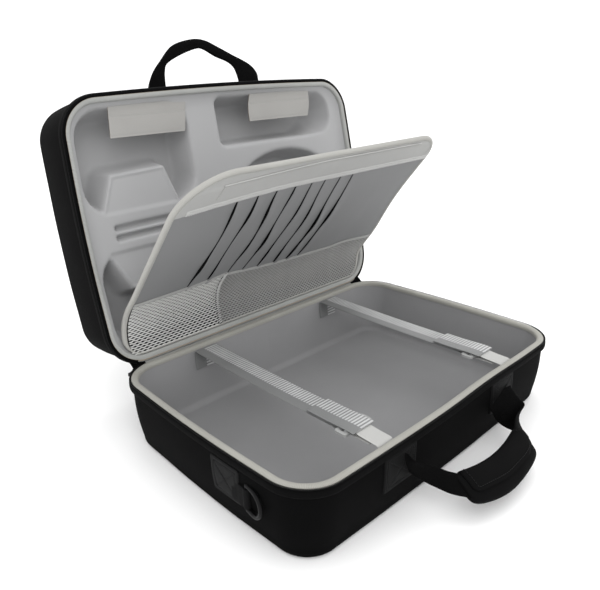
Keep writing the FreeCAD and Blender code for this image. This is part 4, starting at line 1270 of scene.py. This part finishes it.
nu, na = 80, 64
uu = np.sin(np.linspace(-math.pi / 2, math.pi / 2, nu))
uu = np.sign(uu) * np.abs(uu) ** 0.8
ang = np.linspace(0, 2 * math.pi, na, endpoint=False)
xg = -3.0 + uu * 59.0
endr = 0.34 + 0.66 * (1 - np.abs(uu) ** np.where(uu < 0, 6, 11)) ** (1 / 3.0)
ca, cb = rounded(np.cos(ang), 0.62), rounded(np.sin(ang), 0.72)
half_ = 17.6 + 1.8 * np.exp(-((xg + 18) / 30.0) ** 2)
a2 = ca[None] * np.where(ca[None] < 0, (half_ * endr ** 0.6)[:, None], (17.0 * endr ** 0.35)[:, None])
b2 = cb[None] * (6.4 * endr)[:, None] - 0.9
wr = 0.3 * np.sin(xg / 5.5)[:, None] * np.sin(3 * ang)[None] * (1 - uu[:, None] ** 4) + 0.2 * np.sin(xg / 9.0 + 1)[:, None] * np.cos(5 * ang)[None]
gp = grip_w(xg[:, None] + 0 * a2, a2, b2 + wr * 0.6)
bl = Build()
aw = cum(np.stack([ca * 17.6, cb * 6.4], -1))
first = bl.grid(gp, wv=True, u=np.concatenate([xg, xg[-1:]]), v=np.concatenate([aw, [aw[-1] + 3]]))
bl.face(range(first, first + na), [(0, 0)] * na)
bl.face(range(first + (nu - 1) * na, first + nu * na), [(0, 0)] * na)
grip = place(bl.obj("grip_wrap", [M_GRIP], angle=60), "carry_handle", ["handle_grip"])
fu = np.linspace(-1, 1, 70)[:, None]
fa = np.radians(np.linspace(-14, 100, 44))[None]
a0 = rounded(np.cos(fa), 0.55) * 17.9
to_right = 56 - 17 * np.clip((2 - a0) / 9, 0, 1) ** 1.6 - 7 * np.clip((a0 - 10) / 7, 0, 1) ** 2
to_left = 57 - 4 * np.clip((-a0 - 2) / 4, 0, 1) ** 2 - 3 * np.clip((a0 - 12) / 6, 0, 1) ** 2
x = np.where(fu < 0, fu * to_left, fu * to_right)
er = 0.72 + 0.28 * (1 - np.abs(fu) ** 10) ** (1 / 2.0)
a2 = a0 + 0.35 * np.sin(x / 7.0) * smooth(0.85, 1.0, np.sin(fa)) + 0 * x
b2 = rounded(np.sin(fa), 0.62) * 8.1 * er + 0.35 * np.sin(x / 6.5) * np.sin(2 * fa) * 0.6
p = grip_w(x, a2, b2)
n = normals(p)
n *= np.sign((n * (p - grip_w(x, 0 * a2, -6.0 + 0 * b2))).sum(-1, keepdims=True))
bl = Build()
lap_v = cum(np.stack([a2[30], b2[30]], -1))
slab(bl, p, n, 1.9, u=x, v=lap_v[None] + 0 * x)
lap = place(bl.obj("grip_lap", [M_GRIP], angle=40), "carry_handle")
st = Build()
stitch_line(st, p[3:-3, 40], n[3:-3, 40], 3.0, 2.2, 0.3)
for i in (3, -4):
    stitch_line(st, p[i, 3:-3], n[i, 3:-3], 3.0, 2.2, 0.3)
place(st.obj("grip_stitching", [M_THREAD], angle=None), "carry_handle")

# ---- lid handle ----------------------------------------------------------
far_ = [(-96, 306), (-95.5, 317), (-92, 328), (-83, 342), (-70, 355), (-48, 373.5), (-18, 381), (3, 379.5), (24, 370.5), (46, 360),
        (72, 348), (84.5, 336), (86, 322), (86, 306)]
near_ = [(-69, 306), (-68.5, 319), (-67.5, 331), (-65.5, 342), (-60, 351.5), (-38, 361.5), (-13, 368.7), (-1, 368), (17, 358.5), (35, 351.5),
         (44.5, 344), (48.5, 333), (50, 322), (50, 306)]
mid = (np.array(far_, float) + np.array(near_, float)) / 2
half = (np.array(far_, float) - np.array(near_, float)) / 2
path = spline(np.concatenate([mid, half], 1), 150)
mid, half = path[:, :2], path[:, 2:]
ln = cum(mid)
f = np.minimum(ln, ln[-1] - ln)
thick = 2.6 + 3.4 * smooth(24, 70, f)
ang = np.linspace(0, 2 * math.pi, 36, endpoint=False)
cx = rounded(np.cos(ang), 0.45)
sx = rounded(np.sin(ang), 0.7)
groove = 1 - 0.22 * smooth(24, 66, f)[:, None] * np.exp(-((cx[None] + 0.55) / 0.12) ** 2)
q = mid[:, None] + half[:, None] * cx[None, :, None]
p = lid_w(q[..., 0], q[..., 1], 30.0 + sx[None] * thick[:, None] / 2 * groove)
bl = Build()
vv = cum(np.stack([cx * 12, sx * 2], -1))
first = bl.grid(p, wv=True, u=np.concatenate([ln, ln[-1:]]), v=np.concatenate([vv, [vv[-1] + 1]]))
bl.face(range(first, first + 36), [(0, 0)] * 36)
bl.face(range(first + 149 * 36, first + 150 * 36), [(0, 0)] * 36)
lh = place(bl.obj("lid_handle_loop", [M_WEB], angle=60), None, ["lid_handle_webbing"])
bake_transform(lh)

# ---- shoulder rings ------------------------------------------------------
RX, RY, RZ = A - off_base(46.0) + 5.6, -79.0, 46.0
for name, sg in (("left", -1), ("right", 1)):
    def wx(y):
        return abs(float(left_wall(y, 46.0, 0.0)[0]))
    pts = [(wx(-58) + 0.9, -58.0), (wx(-66) + 1.3, -66.0), (wx(-70) + 2.0, -70.0), (RX + 2.3, RY + 3.2), (RX + 3.3, RY), (RX + 2.2, RY - 2.6), (RX, RY - 3.4),
           (RX - 2.2, RY - 2.4), (max(RX - 2.3, wx(-78) + 0.4), RY + 1.2), (wx(-73) + 0.5, -73.5), (wx(-66) + 0.3, -66.0)]
    c2 = spline(pts, 70)
    tt = np.gradient(c2, axis=0)
    tt /= np.linalg.norm(tt, axis=1, keepdims=True)
    no = np.stack([tt[:, 1], -tt[:, 0]], -1)
    zz = np.linspace(-11, 11, 18)
    ed = 0.65 * np.sqrt(np.clip(1 - (zz / 11.2) ** 8, 0.05, 1))
    outp = c2[:, None] + no[:, None] * ed[None, :, None]
    inp = c2[:, None] - no[:, None] * ed[None, :, None]
    zg = np.repeat((RZ + zz)[None], len(c2), 0)
    po, pi = arr(sg * outp[..., 0], outp[..., 1], zg), arr(sg * inp[..., 0], inp[..., 1], zg)
    bl = Build()
    g = np.concatenate([po, pi[:, ::-1]], 1)
    lu = cum(c2)
    vz = np.concatenate([zz, zz[::-1], zz[:1]])
    f0 = bl.grid(g, wv=True, u=np.concatenate([lu, lu[-1:]]), v=vz)
    kk = g.shape[1]
    for i in (0, len(c2) - 1):
        for j in range(17):
            s, t = f0 + i * kk + j, f0 + i * kk + kk - 1 - j
            bl.face([s, s + 1, t - 1, t], [(0, 0)] * 4)
    place(bl.obj("ring_tape_" + name, [M_LOOP], angle=60), "base", ["ring_loop_" + name])

# ---- tie-down straps -----------------------------------------------------
ZS = H - 5.0


def wall_y(z):
    # inner face of the lining at the front and back
    return min(B - (8.3 + 6.8 * max(H - 9 - z, 0) / 63.0), B - 9.3)


for name, xc in (("left", -107.0), ("right", 120.0)):
    back_y = wall_y(ZS) + 3.1
    pts = [(wall_y(54) + 2.2, 54), (wall_y(62) + 2.2, 62), (wall_y(70) + 2.1, 70), (back_y - 1.0, 76), (back_y - 1.6, 78.6), (back_y - 4.5, ZS - 0.9), (back_y - 14, ZS - 1.2),
           (60, ZS - 1.9), (0, ZS - 2.1), (-50, ZS - 1.8), (-84, ZS - 1.4), (-92, ZS - 2.2), (-97.5, ZS - 3.5), (-101.2, ZS - 2.6), (-101.8, ZS - 0.6), (-99.5, ZS + 1.15), (-95, ZS + 1.2), (-89, ZS + 0.55), (-80, ZS + 0.15), (-58, ZS - 0.15),
           (-54.6, ZS), (-53.4, ZS + 0.75), (-54.6, ZS + 1.5), (-58, ZS + 1.55), (-75, ZS + 1.75), (-90, ZS + 2.25), (-100, ZS + 2.75), (-108, ZS + 2.85), (-114, ZS + 2.6), (-117.5, ZS + 2.3)]
    c2 = spline(pts, 720)
    lu = cum(c2)
    tt = np.gradient(c2, axis=0)
    tt /= np.linalg.norm(tt, axis=1, keepdims=True)
    no = np.stack([-tt[:, 1], tt[:, 0]], -1)
    xx = np.concatenate([np.linspace(-16, -13.6, 4), np.linspace(-12.8, 12.8, 9), np.linspace(13.6, 16, 4)])
    inner = smooth(14.8, 13.2, xx) * smooth(-2.6, -0.6, xx)
    rib = 0.5 + 0.5 * np.sin(2 * math.pi * lu / 4.0)
    hh = 0.62 + (0.42 * rib[:, None] - 0.2) * inner[None]
    hh = hh * np.sqrt(np.clip(1 - (np.abs(xx) / 16.05) ** 14, 0.08, 1))[None]
    up = c2[:, None] + no[:, None] * hh[..., None]
    dn = c2[:, None] - no[:, None] * hh[..., None]
    wob = 0.25 * np.sin(lu / 33.0 + xc)[:, None]
    xg = np.repeat((xc + xx)[None], len(c2), 0) + wob
    g = np.concatenate([arr(xg, up[..., 0], up[..., 1]), arr(xg, dn[..., 0], dn[..., 1])[:, ::-1]], 1)
    bl = Build()
    mm = np.where(np.concatenate([xx, xx[::-1]]) < -1.2, 1, 0)[None] + np.zeros((len(c2), 1), int)
    f0 = bl.grid(g, wv=True, u=np.concatenate([lu, lu[-1:]]), v=np.concatenate([xx, xx[::-1], xx[:1]]), mi=mm)
    kk = g.shape[1]
    for i in (0, len(c2) - 1):
        for j in range(len(xx) - 1):
            s, t = f0 + i * kk + j, f0 + i * kk + kk - 1 - j
            bl.face([s, s + 1, t - 1, t], [(0, 0)] * 4)
    place(bl.obj("tie_strap_" + name, [M_STRAP, M_STRAP2], angle=60), "base", ["strap_" + name])
    # white tape from the ring down the front wall
    fy = -wall_y(ZS)
    pts = [(fy + 12.5, ZS - 3.6), (-113.5, ZS - 3.7), (-109.8, ZS - 3.5), (-106.4, ZS - 1.6), (-108.0, ZS + 0.95), (-112, ZS + 1.2), (-117, ZS + 0.3), (-128, ZS - 0.6), (fy + 8, ZS - 0.9), (fy + 2.6, ZS - 1.6), (fy + 1.0, ZS - 5), (-wall_y(70) + 1.0, 70), (-wall_y(60) + 0.9, 60)]
    c2 = spline(pts, 120)
    lu = cum(c2)
    tt = np.gradient(c2, axis=0)
    tt /= np.linalg.norm(tt, axis=1, keepdims=True)
    no = np.stack([-tt[:, 1], tt[:, 0]], -1)
    xx = np.linspace(-11, 11, 13)
    hh = 0.5 * np.sqrt(np.clip(1 - (np.abs(xx) / 11.05) ** 12, 0.08, 1))[None] + 0 * lu[:, None]
    up = c2[:, None] + no[:, None] * hh[..., None]
    dn = c2[:, None] - no[:, None] * hh[..., None]
    xg = np.repeat((xc + xx)[None], len(c2), 0)
    g = np.concatenate([arr(xg, up[..., 0], up[..., 1]), arr(xg, dn[..., 0], dn[..., 1])[:, ::-1]], 1)
    bl = Build()
    f0 = bl.grid(g, wv=True, u=np.concatenate([lu, lu[-1:]]), v=np.concatenate([xx, xx[::-1], xx[:1]]))
    kk = g.shape[1]
    for i in (0, len(c2) - 1):
        for j in range(len(xx) - 1):
            s, t = f0 + i * kk + j, f0 + i * kk + kk - 1 - j
            bl.face([s, s + 1, t - 1, t], [(0, 0)] * 4)
    place(bl.obj("tab_tape_" + name, [M_TAB], angle=60), "base", ["strap_tab_" + name])

# ---- hardware kept from the CAD, finished --------------------------------
for n, m in (("d_ring_left", M_RING), ("d_ring_right", M_RING), ("zip_slider_left", M_METAL), ("zip_slider_right", M_METAL),
             ("zip_pull_left", M_METAL), ("zip_pull_right", M_METAL), ("strap_ring_left", M_SRING), ("strap_ring_right", M_SRING)):
    o = NODES[n]
    o.data.materials.clear()
    o.data.materials.append(m)

# ---- stage, light, camera ------------------------------------------------
me = bpy.data.meshes.new("studio_floor")
s = 14.0
me.from_pydata([(-s, -s, 0), (s, -s, 0), (s, s, 0), (-s, s, 0)], [], [(0, 1, 2, 3)])
floor = bpy.data.objects.new("studio_floor", me)
bpy.context.scene.collection.objects.link(floor)
kf = Mat("studio_paper")
nz = kf.noise(kf.coords("obj"), 0.004, 2.0)
kf.set(Base_Color=kf.mix(nz, (0.97, 0.97, 0.97, 1), (0.985, 0.985, 0.985, 1)), Roughness=kf.math("MULTIPLY_ADD", nz, 0.05, 0.9))
kf.p.inputs["Specular IOR Level"].default_value = 0.1
me.materials.append(kf.m)

scene = bpy.context.scene
scene.view_settings.view_transform = "Standard"
scene.view_settings.look = "None"
world = bpy.data.worlds.new("studio")
scene.world = world
world.use_nodes = True
world.node_tree.nodes["Background"].inputs[0].default_value = (1.0, 1.0, 1.0, 1.0)
world.node_tree.nodes["Background"].inputs[1].default_value = 1.33


def area(name, loc, target, size, power, size_y=None):
    d = bpy.data.lights.new(name, "AREA")
    d.shape = "RECTANGLE"
    d.size, d.size_y = size, size_y or size
    d.energy = power
    o = bpy.data.objects.new(name, d)
    o.location = loc
    o.rotation_euler = (Vector(target) - Vector(loc)).to_track_quat("-Z", "Y").to_euler()
    bpy.context.scene.collection.objects.link(o)
    return o


area("key_softbox", (-1.3, -1.6, 2.2), (0, 0.05, 0.15), 1.6, 14.7)
area("top_softbox", (0.5, 0.1, 2.6), (0, 0.1, 0.1), 1.8, 10.9)

az, el, roll = math.radians(-42.36), math.radians(19.17), math.radians(-1.8)
backv = Vector((math.sin(az) * math.cos(el), -math.cos(az) * math.cos(el), math.sin(el)))
right = Vector((0, 0, 1)).cross(backv).normalized()
upv = backv.cross(right)
c, s = math.cos(roll), math.sin(roll)
cx_, cy_ = right * c + upv * s, right * -s + upv * c
cam = bpy.data.cameras.new("camera")
co_ = bpy.data.objects.new("camera", cam)
scene.collection.objects.link(co_)
co_.matrix_world = Matrix(((cx_.x, cy_.x, backv.x, -0.5092), (cx_.y, cy_.y, backv.y, -0.4538), (cx_.z, cy_.z, backv.z, 0.4285), (0, 0, 0, 1)))
cam.sensor_width = 36.0
cam.lens = 36.871
cam.shift_x, cam.shift_y = 0.02157, -0.03922
cam.clip_start, cam.clip_end = 0.01, 60.0
scene.camera = co_

bpy.context.view_layer.update()
